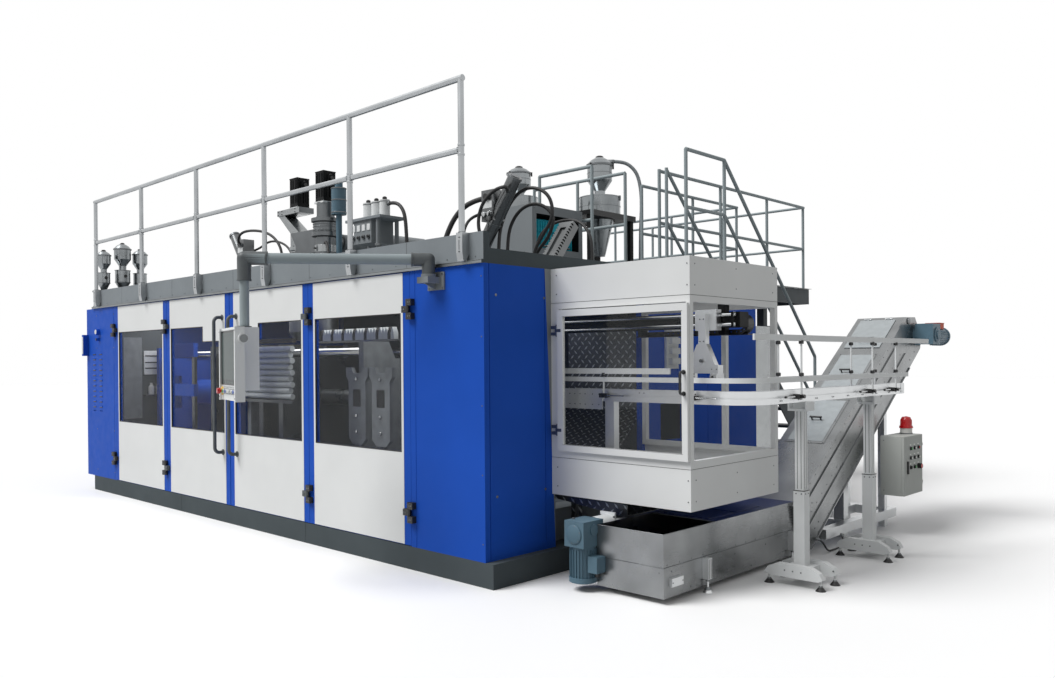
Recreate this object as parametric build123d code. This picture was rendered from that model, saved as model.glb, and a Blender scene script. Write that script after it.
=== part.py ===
from build123d import *
import os
from math import atan2, cos, degrees, radians, sin, sqrt

# Blow moulding machine with two clamp stations, a guarded outfeed and a scrap conveyor.
# Millimetres. +X runs along the door front, +Y runs from the doors to the back, +Z is up.
# The origin is the centre of the plinth's underside, on the floor.

# Plinth and shell
BASE_L = 7160.0
BASE_D = 3800.0
BASE_H = 175.0
PLINTH_WALL = 12.0
PLINTH_BEAM = 300.0
PLINTH_SEAM = 4.0
SHELL_TOP = 2250.0
SHELL_T = 30.0
XR = BASE_L / 2
XL = -BASE_L / 2
YF = -BASE_D / 2
YB = BASE_D / 2
SHELL_Y1 = YF + 3720.0
SEAT = 0.3
SLIVER = 4000.0

# Roof deck, its edge beams and the head rail over the doors
DECK_T = 15.0
TRACK_H = 25.0
TRACK_OUT = 20.0
DECK_Z = SHELL_TOP + TRACK_H + DECK_T
EDGE_H = 180.0
EDGE_T = 60.0
EDGE_TOP = DECK_Z + EDGE_H
END_BOARD_H = 107.0

# Door leaves: four equal leaves, each with a raised field and a window
SEAM_D = XR - 885.0
LEAF_PITCH = 1396.0
LEAF_GAP = 5.0
LEAF_T = 34.0
LEAF_Z0 = BASE_H + 6.0
LEAF_Z1 = SHELL_TOP - 4.0
STILE_W = 80.0
FIELD_PROUD = 3.0
FIELD_Z_MARGIN = 4.0
WIN_MARGIN = 30.0
WIN_Z0 = 885.0
WIN_Z1 = 1935.0
WIN_R = 14.0
NOTCH_W = 440.0
NOTCH_Z = 1784.0
NOTCH_R = 60.0
PANE_T = 8.0
PANE_IN = 8.0
MEET_GAP = 10.0

# Door hinges and handles
PIN_D = 12.0
PIN_OUT = 24.0
PIN_PLAY = 0.05
KNUCKLE_H = 50.0
KNUCKLE_PITCH = 52.0
KNUCKLE_W = 56.0
KNUCKLE_D = 30.0
HINGE_ZS = (436.0, 1964.0)
HANDLE_D = 33.0
HANDLE_OUT = 90.0
HANDLE_Z0 = 690.0
HANDLE_Z1 = 2015.0
HANDLE_INSET = 140.0
HANDLE_R = 48.0

# Blue cabinets and end panels
END_X = XR - 77.0
END_RETURN = 676.0
CABINET_L = 909.0
CABINET_WALL = 20.0
LOUVRE_ROWS = 9
LOUVRE_PITCH = 62.0
LOUVRE_W = 90.0
LOUVRE_H = 10.0
REAR_PANEL_Y = YF + 1944.0
PANEL_SEAM = 6.0
COLUMN_D = 378.0

# Front guard rail
RAIL_D = 45.0
POST_D = 44.0
RAIL_Y = YF - 40.0
RAIL_TOP = 3550.0
RAIL_MID = 3050.0
POST_FIRST = XR - 252.0
POST_PITCH = 1338.0
POST_COUNT = 6
SOCKET_W = 64.0
SOCKET_Z0 = 2268.0

# Rear gallery, stair and their rails
WALK_Z = EDGE_TOP
WALK_BEAM = 194.0
WALK_PLATE = 12.0
WALK_WEB = 20.0
WALK_LEG = 100.0
WALK_X1 = XR - 985.0
WALK_W = 690.0
WALK_Y1 = YF + 6740.0
STAIR_X0 = XR - 940.0
STAIR_X1 = XR - 326.0
STAIR_Y0 = YF + 2830.0
STAIR_Y1 = YF + 3529.0
STAIR_STRINGER = 190.0
STRINGER_T = 12.0
TREAD_COUNT = 11
TREAD_D = 240.0
REAR_RAIL_D = 36.0
REAR_POST_D = 35.0
BRANCH_D = 33.5
MID_DROP = 545.0

# Die heads over the moulds
HEAD_Y = YF + 950.0
HEAD_X = (XR - 3932.0, XR - 3438.0)
HEAD_OPEN_X = (XR - 4250.0, XR - 3120.0)
HEAD_OPEN_Y = (YF + 620.0, YF + 1280.0)
HEAD_LOW_Z = 1800.0
SERVO_W = 146.0
SERVO_TOP = 3525.0
SERVO_H = 316.0

# Main extruder, power unit, hoppers
EXTRUDER_X = XR - 3500.0
EXTRUDER_Z = 2820.0
BARREL_D = 190.0
BARREL_BORE = 90.0
SCREW_PLAY = 0.3
FEED_Y = YF + 3880.0
HOPPER_X = XR - 2400.0
HOPPER_Y = YF + 4150.0
HOPPER_D = 497.0
TABLE_Z = 3250.0
TABLE_T = 52.0
FEED_BOX_Z = 2622.7
OUTLET_Z = 3970.0
UNIT_X1 = XR - 1500.0
UNIT_Y0 = YF + 2000.0
UNIT_L = 750.0
UNIT_W = 620.0
UNIT_TOP = 3090.0

# Operator panel on its swing arm
ARM_X = XR - 574.0
ARM_Y = YF - 75.0
ARM_Z = 2306.0
ARM_LENGTH = 1288.0
ARM_DIR = radians(231.8)
ARM_TUBE_D = 76.0
DROP_TUBE_D = 66.0
ELBOW_D = 96.0
PANEL_TURN = 16.0
PANEL_W = 530.0
PANEL_H = 505.0
PANEL_TOP = 1816.0
PANEL_T = 46.0
PANEL_BACK = 110.0
SWIVEL_GAP = 0.4

# Guard cage over the outfeed
CAGE_X0 = END_X + SEAT
CAGE_X1 = XR + 1140.0
CAGE_Y0 = YF + 690.0
CAGE_Y1 = YF + 1860.0
CAGE_Z0 = 576.0
CAGE_POST = 40.0
CAGE_SHEET = 4.0
SILL_Z = 905.0
LINTEL_Z = 1950.0
CAGE_DOOR_X0 = XR + 2.0
CAGE_DOOR_X1 = XR + 1134.0
CAGE_DOOR_T = 25.0
CAGE_GLASS_T = 5.0
CAGE_HINGE_ZS = (1057.0, 1791.0)

# Outfeed conveyor
CONV_X = XR + 1460.0
CONV_Y = YF + 885.0
CONV_Z0 = 1272.0
CONV_Z1 = 1360.0
CONV_W = 90.0
CONV_BEND_R = 189.0
CONV_START = XR - 40.0
CONV_END = YF + 3350.0
STAND_YS = (YF + 1585.0, YF + 2735.0)
STAND_SPLIT = 654.0
STAND_LOW_W = 80.0
STAND_HIGH_W = 62.0
GUIDE_NEAR = 80.0
GUIDE_FAR = -90.0
GUIDE_LOW_Z = 1432.0
GUIDE_HIGH_Z = 1712.0

# Scrap tray, incline conveyor and control box
TRAY_X0 = XR + 530.0
TRAY_X1 = XR + 1075.0
TRAY_Y0 = YF + 470.0
TRAY_Y1 = YF + 2340.0
TRAY_Z0 = 40.0
TRAY_SPLIT = 238.0
TRAY_Z1 = 454.0
TRAY_WALL = 6.0
TRAY_MOUTH = 630.0
RISE_X0 = XR + 640.0
RISE_X1 = XR + 1100.0
RISE_SLOPE = 34.0
RISE_DEEP = 470.0
RISE_WALL = 8.0
BOX_X0 = XR + 1190.0
BOX_X1 = XR + 1396.0
BOX_Y0 = YF + 3632.0
BOX_Y1 = YF + 4066.0
BOX_Z0 = 358.0
BOX_Z1 = 878.0
BOX_PIN_X = BOX_X1 - 10.0
BOX_PIN_Y = BOX_Y1 + 8.0
BOX_HINGE_ZS = (BOX_Z0 + 90.0, BOX_Z1 - 90.0)

# Clamp stations
CLAMP_Y = HEAD_Y
SHUTTLE = 1050.0
MOULD_HOME = (XR - 4727.0, XR - 3677.0)
BED_RAIL_Z = 560.0
BED_RAIL_W = 60.0
BED_RAIL_H = 60.0
BED_SPREAD = 450.0
CARRIAGE_Z = 600.0
CARRIAGE_T = 80.0
CARRIAGE_OUT = 1600.0
CARRIAGE_IN = 450.0
END_PLATE_T = 70.0
PLATE_TOP = 1750.0
TIE_D = 80.0
TIE_PLAY = 0.3
TIE_ZS = (760.0, 1660.0)
TIE_SPREAD = 430.0
PLATEN_T = 80.0
MOULD_T = 150.0
MOULD_GAP = 1.0
FUNNEL_T = 8.0
FUNNEL_TOP = 1830.0


def block(x0, x1, y0, y1, z0, z1):
    """Box between two corners."""
    centre = Pos((x0 + x1) / 2, (y0 + y1) / 2, (z0 + z1) / 2)
    return centre * Box(x1 - x0, y1 - y0, z1 - z0)


def rod(start, end, dia):
    """Round bar between two points."""
    start, end = Vector(*start), Vector(*end)
    axis = end - start
    place = Plane(origin=start, z_dir=axis)
    return place * Cylinder(dia / 2, axis.length, align=(Align.CENTER, Align.CENTER, Align.MIN))


def pipe(start, end, dia, bore):
    """Round tube between two points."""
    return rod(start, end, dia) - rod(start, end, bore)


def upright(x, y, z0, z1, dia):
    """Vertical round bar."""
    return rod((x, y, z0), (x, y, z1), dia)


def bent_bar(points, dia, radii):
    """Round bar along straight runs joined by tangent arcs."""
    path = FilletPolyline(*points, radius=radii)
    section = Plane(origin=path @ 0, z_dir=path % 0) * Circle(dia / 2)
    return sweep(section, path=path)


def joined(pieces):
    """One solid from pieces that meet."""
    whole = Part() + pieces
    return whole


def grouped(pieces):
    """Several solids that stay apart in one node."""
    solids = []
    for piece in pieces:
        solids.extend(piece.solids())
    return Compound(children=solids)


def fitted(pieces):
    """Separate bars, each one cut to the bars before it that it meets."""
    done = []
    for piece in pieces:
        box = piece.bounding_box()
        near = [other for other in done if other.bounding_box().overlaps(box)]
        if near:
            piece = piece - near
        done.extend(solid for solid in piece.solids() if solid.volume > SLIVER)
    return Compound(children=done)


def extrude_yz(points, x0, x1):
    """Prism along X from an outline in Y and Z."""
    face = Plane.YZ * make_face(Polyline(*points, close=True))
    return Pos(x0, 0, 0) * extrude(face, amount=x1 - x0)


def extrude_xz(points, y0, y1):
    """Prism along Y from an outline in X and Z."""
    face = Plane.XZ * make_face(Polyline(*points, close=True))
    return Pos(0, y1, 0) * extrude(face, amount=y1 - y0)


# Plinth
def base_plinth():
    shell = block(XL, XR, YF, YB, 0, BASE_H)
    bay_d = (BASE_D - PLINTH_BEAM) / 2 - PLINTH_WALL
    for y0 in (YF + PLINTH_WALL, PLINTH_BEAM / 2):
        shell -= block(XL + PLINTH_WALL, XR - PLINTH_WALL, y0, y0 + bay_d, 0, BASE_H - PLINTH_WALL)
    for x in (XR - 2352.0, XR - 4756.0):
        shell -= block(x, x + PLINTH_SEAM, YF, YF + PLINTH_SEAM, 0, BASE_H)
    return shell


# Blue shell
def left_cabinet():
    x1 = SEAM_D - 4 * LEAF_PITCH
    x0 = x1 - CABINET_L
    y1 = YF + END_RETURN
    shell = block(x0, x1, YF, y1, BASE_H, SHELL_TOP)
    shell -= block(x0 + CABINET_WALL, x1 - CABINET_WALL, YF + CABINET_WALL, y1,
                   BASE_H + CABINET_WALL, SHELL_TOP - CABINET_WALL)
    for column in (x0 + 200.0, x0 + 400.0):
        for row in range(LOUVRE_ROWS):
            z = 980.0 + row * LOUVRE_PITCH
            shell -= block(column, column + LOUVRE_W, YF, YF + CABINET_WALL, z, z + LOUVRE_H)
    shell -= block(x1 - 56, x1 - 56 + PANEL_SEAM, YF, YF + PANEL_SEAM, BASE_H, SHELL_TOP)
    lamp = rod((x0 + 398, YF, 1958), (x0 + 398, YF - 42, 1958), 78)
    knob = rod((x0 + 398, YF, 1866), (x0 + 398, YF - 34, 1866), 40)
    holder = block(x0, x0 + 52, YF - 62, YF, 1665, 1930)
    return joined([shell, lamp, knob, holder])


def right_end_panel():
    front = block(SEAM_D, END_X, YF, YF + SHELL_T, BASE_H, SHELL_TOP)
    end = block(END_X - SHELL_T, END_X, YF, YF + END_RETURN, BASE_H, SHELL_TOP)
    jamb = block(SEAM_D, SEAM_D + SHELL_T, YF, YF + 120.0, BASE_H, SHELL_TOP)
    portal = block(END_X - 60, END_X, YF + END_RETURN, CAGE_Y0 + 35, BASE_H, SHELL_TOP)
    shell = joined([front, end, jamb, portal])
    for y in (YF + 48.0, YF + END_RETURN - 60.0):
        shell -= block(END_X - PANEL_SEAM, END_X, y, y + PANEL_SEAM, BASE_H, SHELL_TOP)
    shell -= block(SEAM_D + 56, SEAM_D + 56 + PANEL_SEAM, YF, YF + PANEL_SEAM, BASE_H, SHELL_TOP)
    return shell


def rear_enclosure():
    left = block(XL, XL + SHELL_T, YF + END_RETURN, SHELL_Y1, BASE_H, SHELL_TOP)
    back = block(XL, END_X, SHELL_Y1 - SHELL_T, SHELL_Y1, BASE_H, SHELL_TOP)
    right = block(END_X - SHELL_T, END_X, REAR_PANEL_Y, SHELL_Y1, BASE_H, SHELL_TOP)
    column = block(END_X - 60, END_X, CAGE_Y1 - 35, REAR_PANEL_Y, BASE_H, SHELL_TOP)
    shell = joined([left, back, right, column])
    bays = 6
    pitch = (END_X - XL) / bays
    for bay in range(1, bays):
        x = XL + bay * pitch
        shell -= block(x, x + PANEL_SEAM, SHELL_Y1 - PANEL_SEAM, SHELL_Y1, BASE_H, SHELL_TOP)
    seam_y = REAR_PANEL_Y + (SHELL_Y1 - REAR_PANEL_Y) / 2
    shell -= block(END_X - PANEL_SEAM, END_X, seam_y, seam_y + PANEL_SEAM, BASE_H, SHELL_TOP)
    shell -= block(END_X - SHELL_T, END_X, REAR_PANEL_Y + 140, REAR_PANEL_Y + 480, 870, 1190)
    panel = block(END_X, END_X + 22, YF + 2150, YF + 2330, 1490, 1880)
    for row in range(4):
        z = 1530.0 + row * 88
        panel += block(END_X + 22, END_X + 64, YF + 2176, YF + 2300, z, z + 52)
    return grouped([joined([shell, panel]), service_column()])


def service_column():
    """Rounded stainless duct with its dark back frame, standing behind the shell."""
    x0, x1 = END_X - 200.0, END_X
    z1 = 1896.0
    profile = Rectangle(x1 - x0, COLUMN_D)
    profile = fillet(profile.vertices().group_by(Axis.Y)[-1], 60)
    duct = Pos((x0 + x1) / 2, SHELL_Y1 + SEAT + COLUMN_D / 2, BASE_H) * extrude(profile, amount=z1 - BASE_H)
    foot = block(x0 + 60, x1 - 60, YB + 10, YB + 200, 0, BASE_H)
    frame = block(x0 + 40, x1 - 40, SHELL_Y1 + SEAT + COLUMN_D, SHELL_Y1 + SEAT + COLUMN_D + 120, 0, z1 + 12)
    return joined([duct, foot, frame])


def roof_deck():
    front_x0 = XR - 6990.0
    deck = block(XL, END_X, YF, SHELL_Y1, SHELL_TOP + TRACK_H, DECK_Z)
    deck -= block(*HEAD_OPEN_X, *HEAD_OPEN_Y, SHELL_TOP, DECK_Z)
    track = block(XL, END_X, YF - TRACK_OUT, YF + EDGE_T, SHELL_TOP, SHELL_TOP + TRACK_H)
    beam = block(front_x0, END_X, YF, YF + EDGE_T, DECK_Z, EDGE_TOP)
    rear_beam = block(XL, STAIR_X0 - 5, SHELL_Y1 - EDGE_T, SHELL_Y1, DECK_Z, EDGE_TOP)
    board_top = SHELL_TOP + END_BOARD_H
    end_board = block(END_X - EDGE_T, END_X, YF + EDGE_T, SHELL_Y1, SHELL_TOP, board_top)
    far_board = block(XL, XL + EDGE_T, YF + END_RETURN, SHELL_Y1, SHELL_TOP, board_top)
    rear_lip = block(XL, END_X, SHELL_Y1 - EDGE_T, SHELL_Y1, SHELL_TOP, SHELL_TOP + TRACK_H)
    return joined([deck, track, beam, rear_beam, end_board, far_board, rear_lip])


# Door leaves
def leaf_span(number):
    """Left and right edge of a leaf, counted from the left."""
    left_seam = SEAM_D - (5 - number) * LEAF_PITCH
    right_seam = left_seam + LEAF_PITCH
    left_gap = MEET_GAP / 2 if number == 3 else LEAF_GAP / 2
    right_gap = MEET_GAP / 2 if number == 2 else LEAF_GAP / 2
    return left_seam + left_gap, right_seam - right_gap


def window_outline(number, inset):
    """Window outline of a leaf in X and Z, pulled in by inset."""
    x0, x1 = leaf_span(number)
    x0 += STILE_W + WIN_MARGIN + inset
    x1 -= STILE_W + WIN_MARGIN + inset
    z0 = WIN_Z0 + inset
    z1 = WIN_Z1 - inset
    notch_z = NOTCH_Z - inset
    corners = [(x0, z0), (x1, z0), (x1, z1), (x0, z1)]
    if number == 2:
        step = x1 - NOTCH_W
        corners = [(x0, z0), (x1, z0), (x1, notch_z), (step, notch_z), (step, z1), (x0, z1)]
    if number == 3:
        step = x0 + NOTCH_W
        corners = [(x0, z0), (x1, z0), (x1, z1), (step, z1), (step, notch_z), (x0, notch_z)]
    face = make_face(Polyline(*corners, close=True))
    return fillet(face.vertices(), WIN_R)


def window_prism(number, inset, y0, y1):
    face = Plane.XZ * window_outline(number, inset)
    return Pos(0, y1, 0) * extrude(face, amount=y1 - y0)


def door_leaf(number):
    x0, x1 = leaf_span(number)
    leaf = block(x0, x1, YF, YF + LEAF_T, LEAF_Z0, LEAF_Z1)
    field = block(x0 + STILE_W, x1 - STILE_W, YF - FIELD_PROUD, YF,
                  LEAF_Z0 + FIELD_Z_MARGIN, LEAF_Z1 - FIELD_Z_MARGIN)
    leaf = joined([leaf, field])
    return leaf - window_prism(number, 0.0, YF - FIELD_PROUD, YF + LEAF_T)


def door_pane(number):
    return window_prism(number, SEAT, YF + PANE_IN, YF + PANE_IN + PANE_T)


def hinge_knuckle(seam, side, z, face_y):
    """Leaf block and barrel of one knuckle; side is +1 to the right of the seam."""
    barrel = upright(seam, YF - PIN_OUT, z - KNUCKLE_H / 2, z + KNUCKLE_H / 2, KNUCKLE_D)
    edge = seam + side * KNUCKLE_W
    flat = block(min(seam, edge), max(seam, edge), YF - PIN_OUT - KNUCKLE_D / 2, face_y,
                 z - KNUCKLE_H / 2, z + KNUCKLE_H / 2)
    near = seam + side * LEAF_GAP / 2
    relief = block(min(seam - side * KNUCKLE_D, near), max(seam - side * KNUCKLE_D, near),
                   YF - 6.0, YF + 1.0, z - KNUCKLE_H, z + KNUCKLE_H)
    return joined([barrel, flat]) - relief


def fixed_knuckles(seam, side):
    """Outer knuckle pairs with their pins, on the body that carries the leaf."""
    pieces = []
    for z in HINGE_ZS:
        pin_half = KNUCKLE_PITCH + KNUCKLE_H / 2
        pin = upright(seam, YF - PIN_OUT, z - pin_half, z + pin_half, PIN_D)
        pair = [hinge_knuckle(seam, side, z + shift, YF) for shift in (-KNUCKLE_PITCH, KNUCKLE_PITCH)]
        pieces.append(joined([pin] + pair))
    return pieces


def moving_knuckles(seam, side):
    """Middle knuckles, bored for the pins, on the leaf."""
    pieces = []
    for z in HINGE_ZS:
        bore = upright(seam, YF - PIN_OUT, z - KNUCKLE_H, z + KNUCKLE_H, PIN_D + 2 * PIN_PLAY)
        pieces.append(hinge_knuckle(seam, side, z, YF) - bore)
    return pieces


def seam_x(number):
    """Seam at the left edge of a leaf; 5 is the right edge of leaf 4."""
    return SEAM_D - (5 - number) * LEAF_PITCH


def fixed_hinges():
    return grouped(fixed_knuckles(seam_x(1), -1) + fixed_knuckles(seam_x(5), 1))


def handle(x):
    points = [(x, YF - FIELD_PROUD, HANDLE_Z0), (x, YF - HANDLE_OUT, HANDLE_Z0),
              (x, YF - HANDLE_OUT, HANDLE_Z1), (x, YF - FIELD_PROUD, HANDLE_Z1)]
    return bent_bar(points, HANDLE_D, HANDLE_R)


def door_1_hinges():
    return grouped(moving_knuckles(seam_x(1), 1) + fixed_knuckles(seam_x(2), -1))


def door_2_handle():
    return grouped([handle(seam_x(3) - HANDLE_INSET)] + moving_knuckles(seam_x(2), 1))


def door_3_handle():
    return grouped([handle(seam_x(3) + HANDLE_INSET)] + moving_knuckles(seam_x(4), -1))


def door_4_hinges():
    return grouped(moving_knuckles(seam_x(5), -1) + fixed_knuckles(seam_x(4), 1))


# Front guard rail
def rail_socket(x):
    """Slotted socket on the face of the edge beam that takes one post."""
    half = SOCKET_W / 2
    y1 = YF - SEAT
    y0 = RAIL_Y - half + 6.0
    body = block(x - half, x + half, y0, y1, SOCKET_Z0 + 60, EDGE_TOP)
    wedge = extrude_yz([(y0, SOCKET_Z0 + 60), (y1, SOCKET_Z0 + 60), (y1 - 24, SOCKET_Z0), (y0 + 12, SOCKET_Z0)],
                       x - half, x + half)
    slot = block(x - 6, x + 6, y0, y0 + 6, SOCKET_Z0 + 80, SOCKET_Z0 + 150)
    return joined([body, wedge]) - slot


def front_guard_rail():
    xs = [POST_FIRST - i * POST_PITCH for i in range(POST_COUNT)]
    over = RAIL_D / 2
    pieces = [rod((xs[-1] - over, RAIL_Y, RAIL_TOP), (xs[0] + over, RAIL_Y, RAIL_TOP), RAIL_D)]
    pieces += [upright(x, RAIL_Y, SOCKET_Z0 + 70, RAIL_TOP, POST_D) for x in xs]
    pieces += [rail_socket(x) for x in xs]
    pieces.append(rod((xs[-1], RAIL_Y, RAIL_MID), (xs[0], RAIL_Y, RAIL_MID), RAIL_D - 3))
    return fitted(pieces)


# Rear gallery and stair
def walkway_stair():
    """Gallery boxes on their legs, the landing and the stair flight, each a section of its own."""
    z0 = WALK_Z - WALK_BEAM
    well_x1 = WALK_X1 - WALK_W
    west = XR - 4700.0
    under = WALK_Z - WALK_PLATE
    side = block(well_x1, WALK_X1, SHELL_Y1 + SEAT, WALK_Y1, z0, WALK_Z)
    side -= block(well_x1 + WALK_WEB, WALK_X1 - WALK_WEB, SHELL_Y1 + WALK_WEB, WALK_Y1 - WALK_WEB, z0, under)
    side += block(WALK_X1, STAIR_X0 - 1, SHELL_Y1 + SEAT, SHELL_Y1 + 200, WALK_Z - 60, WALK_Z)
    far = block(west, well_x1, WALK_Y1 - WALK_W, WALK_Y1, z0, WALK_Z)
    far -= block(west + WALK_WEB, well_x1 - WALK_WEB, WALK_Y1 - WALK_W + WALK_WEB, WALK_Y1 - WALK_WEB, z0, under)
    pieces = [side, far, stair_landing(), stair_flight()]
    for x in (west + 60, (west + WALK_X1) / 2, well_x1 + WALK_WEB):
        for y in (WALK_Y1 - 160, WALK_Y1 - WALK_W + 40):
            pieces.append(block(x, x + WALK_LEG, y, y + WALK_LEG, 0, under))
    return grouped(pieces)


def stair_landing():
    """Landing over the roof on its four short feet."""
    pieces = [block(STAIR_X0, STAIR_X1, STAIR_Y0, STAIR_Y1, WALK_Z - 60, WALK_Z)]
    for y in (STAIR_Y0 + 20, STAIR_Y1 - 80):
        for x in (STAIR_X0, STAIR_X1 - 60):
            pieces.append(block(x, x + 60, y, y + 60, DECK_Z, WALK_Z - 60))
    return joined(pieces)


def stair_flight():
    """Two stringers at 45 degrees with the treads between them."""
    pieces = []
    deep = STAIR_STRINGER * sqrt(2)
    y_foot = STAIR_Y1 + WALK_Z
    for x in (STAIR_X0, STAIR_X1 - STRINGER_T):
        outline = [(STAIR_Y1, WALK_Z), (y_foot, 0), (y_foot - deep, 0), (STAIR_Y1, WALK_Z - deep)]
        pieces.append(extrude_yz(outline, x, x + STRINGER_T))
    rise = WALK_Z / (TREAD_COUNT + 1)
    for step in range(1, TREAD_COUNT + 1):
        z = WALK_Z - step * rise
        y = STAIR_Y1 + step * rise
        pieces.append(block(STAIR_X0 + 1, STAIR_X1 - 1, y - TREAD_D, y - 10, z - 30, z))
    house = block(STAIR_X0 - 1, STAIR_X1 + 1, STAIR_Y0, SHELL_Y1 + SEAT, BASE_H, DECK_Z)
    return joined(pieces) - house


def level_rail(start, end, posts, z_foot, dia=REAR_RAIL_D):
    """Top rail, posts and mid rail between two points on plan."""
    (xa, ya), (xb, yb) = start, end
    tops = [rod((xa, ya, RAIL_TOP), (xb, yb, RAIL_TOP), dia)]
    mids = [rod((xa, ya, RAIL_TOP - MID_DROP), (xb, yb, RAIL_TOP - MID_DROP), dia - 2)]
    legs = []
    for share in posts:
        x = xa + (xb - xa) * share
        y = ya + (yb - ya) * share
        legs.append(upright(x, y, z_foot, RAIL_TOP, REAR_POST_D))
    return tops, legs, mids


def stair_rail(x, y0, length):
    """Sloping hand rail and mid rail on one side of the stair."""
    y1 = y0 + length
    mid_z = RAIL_TOP - MID_DROP
    tops = [rod((x, y0, RAIL_TOP), (x, y1, RAIL_TOP - length), REAR_RAIL_D)]
    mids = [rod((x, y0, mid_z), (x, y1, mid_z - length), REAR_RAIL_D - 2)]
    legs = []
    for share in (0.5, 1.0):
        y = y0 + length * share
        foot = WALK_Z - (y - STAIR_Y1) - 120.0
        legs.append(upright(x, y, foot, RAIL_TOP - length * share, REAR_POST_D))
    return tops, legs, mids


def rear_guard_rail():
    edge = REAR_POST_D / 2
    outer_x = WALK_X1 - 2 * REAR_POST_D
    inner_x = WALK_X1 - WALK_W + edge
    far_y = WALK_Y1 - edge
    well_y = WALK_Y1 - WALK_W + edge
    west = XR - 4650.0
    z = WALK_Z
    right = STAIR_X1 + edge + SEAT
    left = STAIR_X0 - edge - SEAT
    knee = STAIR_Y1 - 60
    back = YF + 2790.0
    runs = [level_rail((outer_x, YF + 3478.0), (outer_x, far_y + edge), (0.37, 0.7), z),
            level_rail((west, far_y), (outer_x, far_y), (0, 0.33, 0.66, 1.0), z, BRANCH_D),
            level_rail((inner_x, YF + 3990.0), (inner_x, well_y + edge), (0, 0.5), z),
            level_rail((west, well_y), (inner_x, well_y), (0, 0.33, 0.66, 1.0), z, BRANCH_D),
            level_rail((right, STAIR_Y0 + edge), (right, STAIR_Y1), (0, 1.0), z - 150),
            stair_rail(right, STAIR_Y1, 1960.0), stair_rail(left, knee, 1960.0),
            level_rail((XR - 2132.0, back), (XR - 1402.0, back), (0, 1.0), DECK_Z),
            level_rail((XR - 2690.0, YF + 3300.0), (XR - 1367.0, YF + 3300.0), (0, 0.5, 1.0), DECK_Z)]
    pieces = [upright(outer_x, YF + 3478.0, DECK_Z, RAIL_TOP + edge, REAR_POST_D),
              upright(left, knee, z - 150, RAIL_TOP + edge, REAR_POST_D)]
    for group in range(3):
        for run in runs:
            pieces += run[group]
    return fitted(pieces)


# Extruder group on the roof
def extruder_housing():
    y0 = HEAD_Y + 220.0
    y1 = FEED_Y + 260.0
    barrel = pipe((EXTRUDER_X, y0, EXTRUDER_Z), (EXTRUDER_X, y1, EXTRUDER_Z), BARREL_D, BARREL_BORE)
    throat = upright(EXTRUDER_X, FEED_Y, EXTRUDER_Z, EXTRUDER_Z + 200, 120) - rod(
        (EXTRUDER_X, y0, EXTRUDER_Z), (EXTRUDER_X, y1, EXTRUDER_Z), BARREL_BORE)
    pieces = [barrel, throat]
    for y in (HEAD_Y + 700, HEAD_Y + 1500, HEAD_Y + 2300):
        pieces.append(pipe((EXTRUDER_X, y, EXTRUDER_Z), (EXTRUDER_X, y + 620, EXTRUDER_Z), BARREL_D + 110, BARREL_D - 1))
    for y in (HEAD_Y + 600, SHELL_Y1 - 320):
        pieces.append(block(EXTRUDER_X - 120, EXTRUDER_X + 120, y, y + 60, DECK_Z, EXTRUDER_Z - 60))
    gearbox = block(EXTRUDER_X - 260, EXTRUDER_X + 260, y1, y1 + 520, DECK_Z + 150, EXTRUDER_Z + 240)
    gearbox -= rod((EXTRUDER_X, y1, EXTRUDER_Z), (EXTRUDER_X, y1 + 220, EXTRUDER_Z), BARREL_BORE)
    plate_z = WALK_Z - WALK_BEAM
    cradle = block(EXTRUDER_X - 320, EXTRUDER_X + 320, SHELL_Y1 + SEAT, WALK_Y1 - WALK_W - 40, plate_z, plate_z + 60)
    posts = []
    for x in (EXTRUDER_X - 300, EXTRUDER_X + 200):
        posts.append(block(x, x + 100, WALK_Y1 - WALK_W - 200, WALK_Y1 - WALK_W - 100, 0, plate_z))
        posts.append(block(x, x + 100, y1 + 60, y1 + 460, plate_z, DECK_Z + 150))
    return joined(pieces + [gearbox, cradle] + posts)


def extruder_screw():
    y0 = HEAD_Y + 240.0
    y1 = FEED_Y + 440.0
    dia = BARREL_BORE - 2 * SCREW_PLAY
    screw = rod((EXTRUDER_X, y0 + 60, EXTRUDER_Z), (EXTRUDER_X, y1, EXTRUDER_Z), dia)
    tip = Plane(origin=(EXTRUDER_X, y0 + 60, EXTRUDER_Z), z_dir=(0, -1, 0)) * Cone(
        dia / 2, 6.0, 60.0, align=(Align.CENTER, Align.CENTER, Align.MIN))
    return joined([screw, tip])


def power_unit():
    """Ventilated housing of the pump set, open on its right side."""
    x0 = UNIT_X1 - UNIT_W
    y1 = UNIT_Y0 + UNIT_L
    shell = block(x0, UNIT_X1, UNIT_Y0, y1, DECK_Z, UNIT_TOP)
    shell -= block(x0 + 20, UNIT_X1, UNIT_Y0 + 60, y1 - 60, DECK_Z + 380, UNIT_TOP - 90)
    return shell


def pump_motor():
    """Drive motor that shows inside the power unit."""
    x1 = UNIT_X1 - 60.0
    y0 = UNIT_Y0 + 90.0
    z0 = DECK_Z + 380.0
    z1 = UNIT_TOP - 130.0
    frame = block(x1 - 400, x1, y0, y0 + 560, z0, z1)
    for i in range(5):
        z = z0 + 40 + i * 56
        frame -= block(x1 - 14, x1, y0 + 20, y0 + 240, z, z + 24)
        frame -= block(x1 - 14, x1, y0 + 290, y0 + 540, z, z + 24)
    return frame


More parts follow.
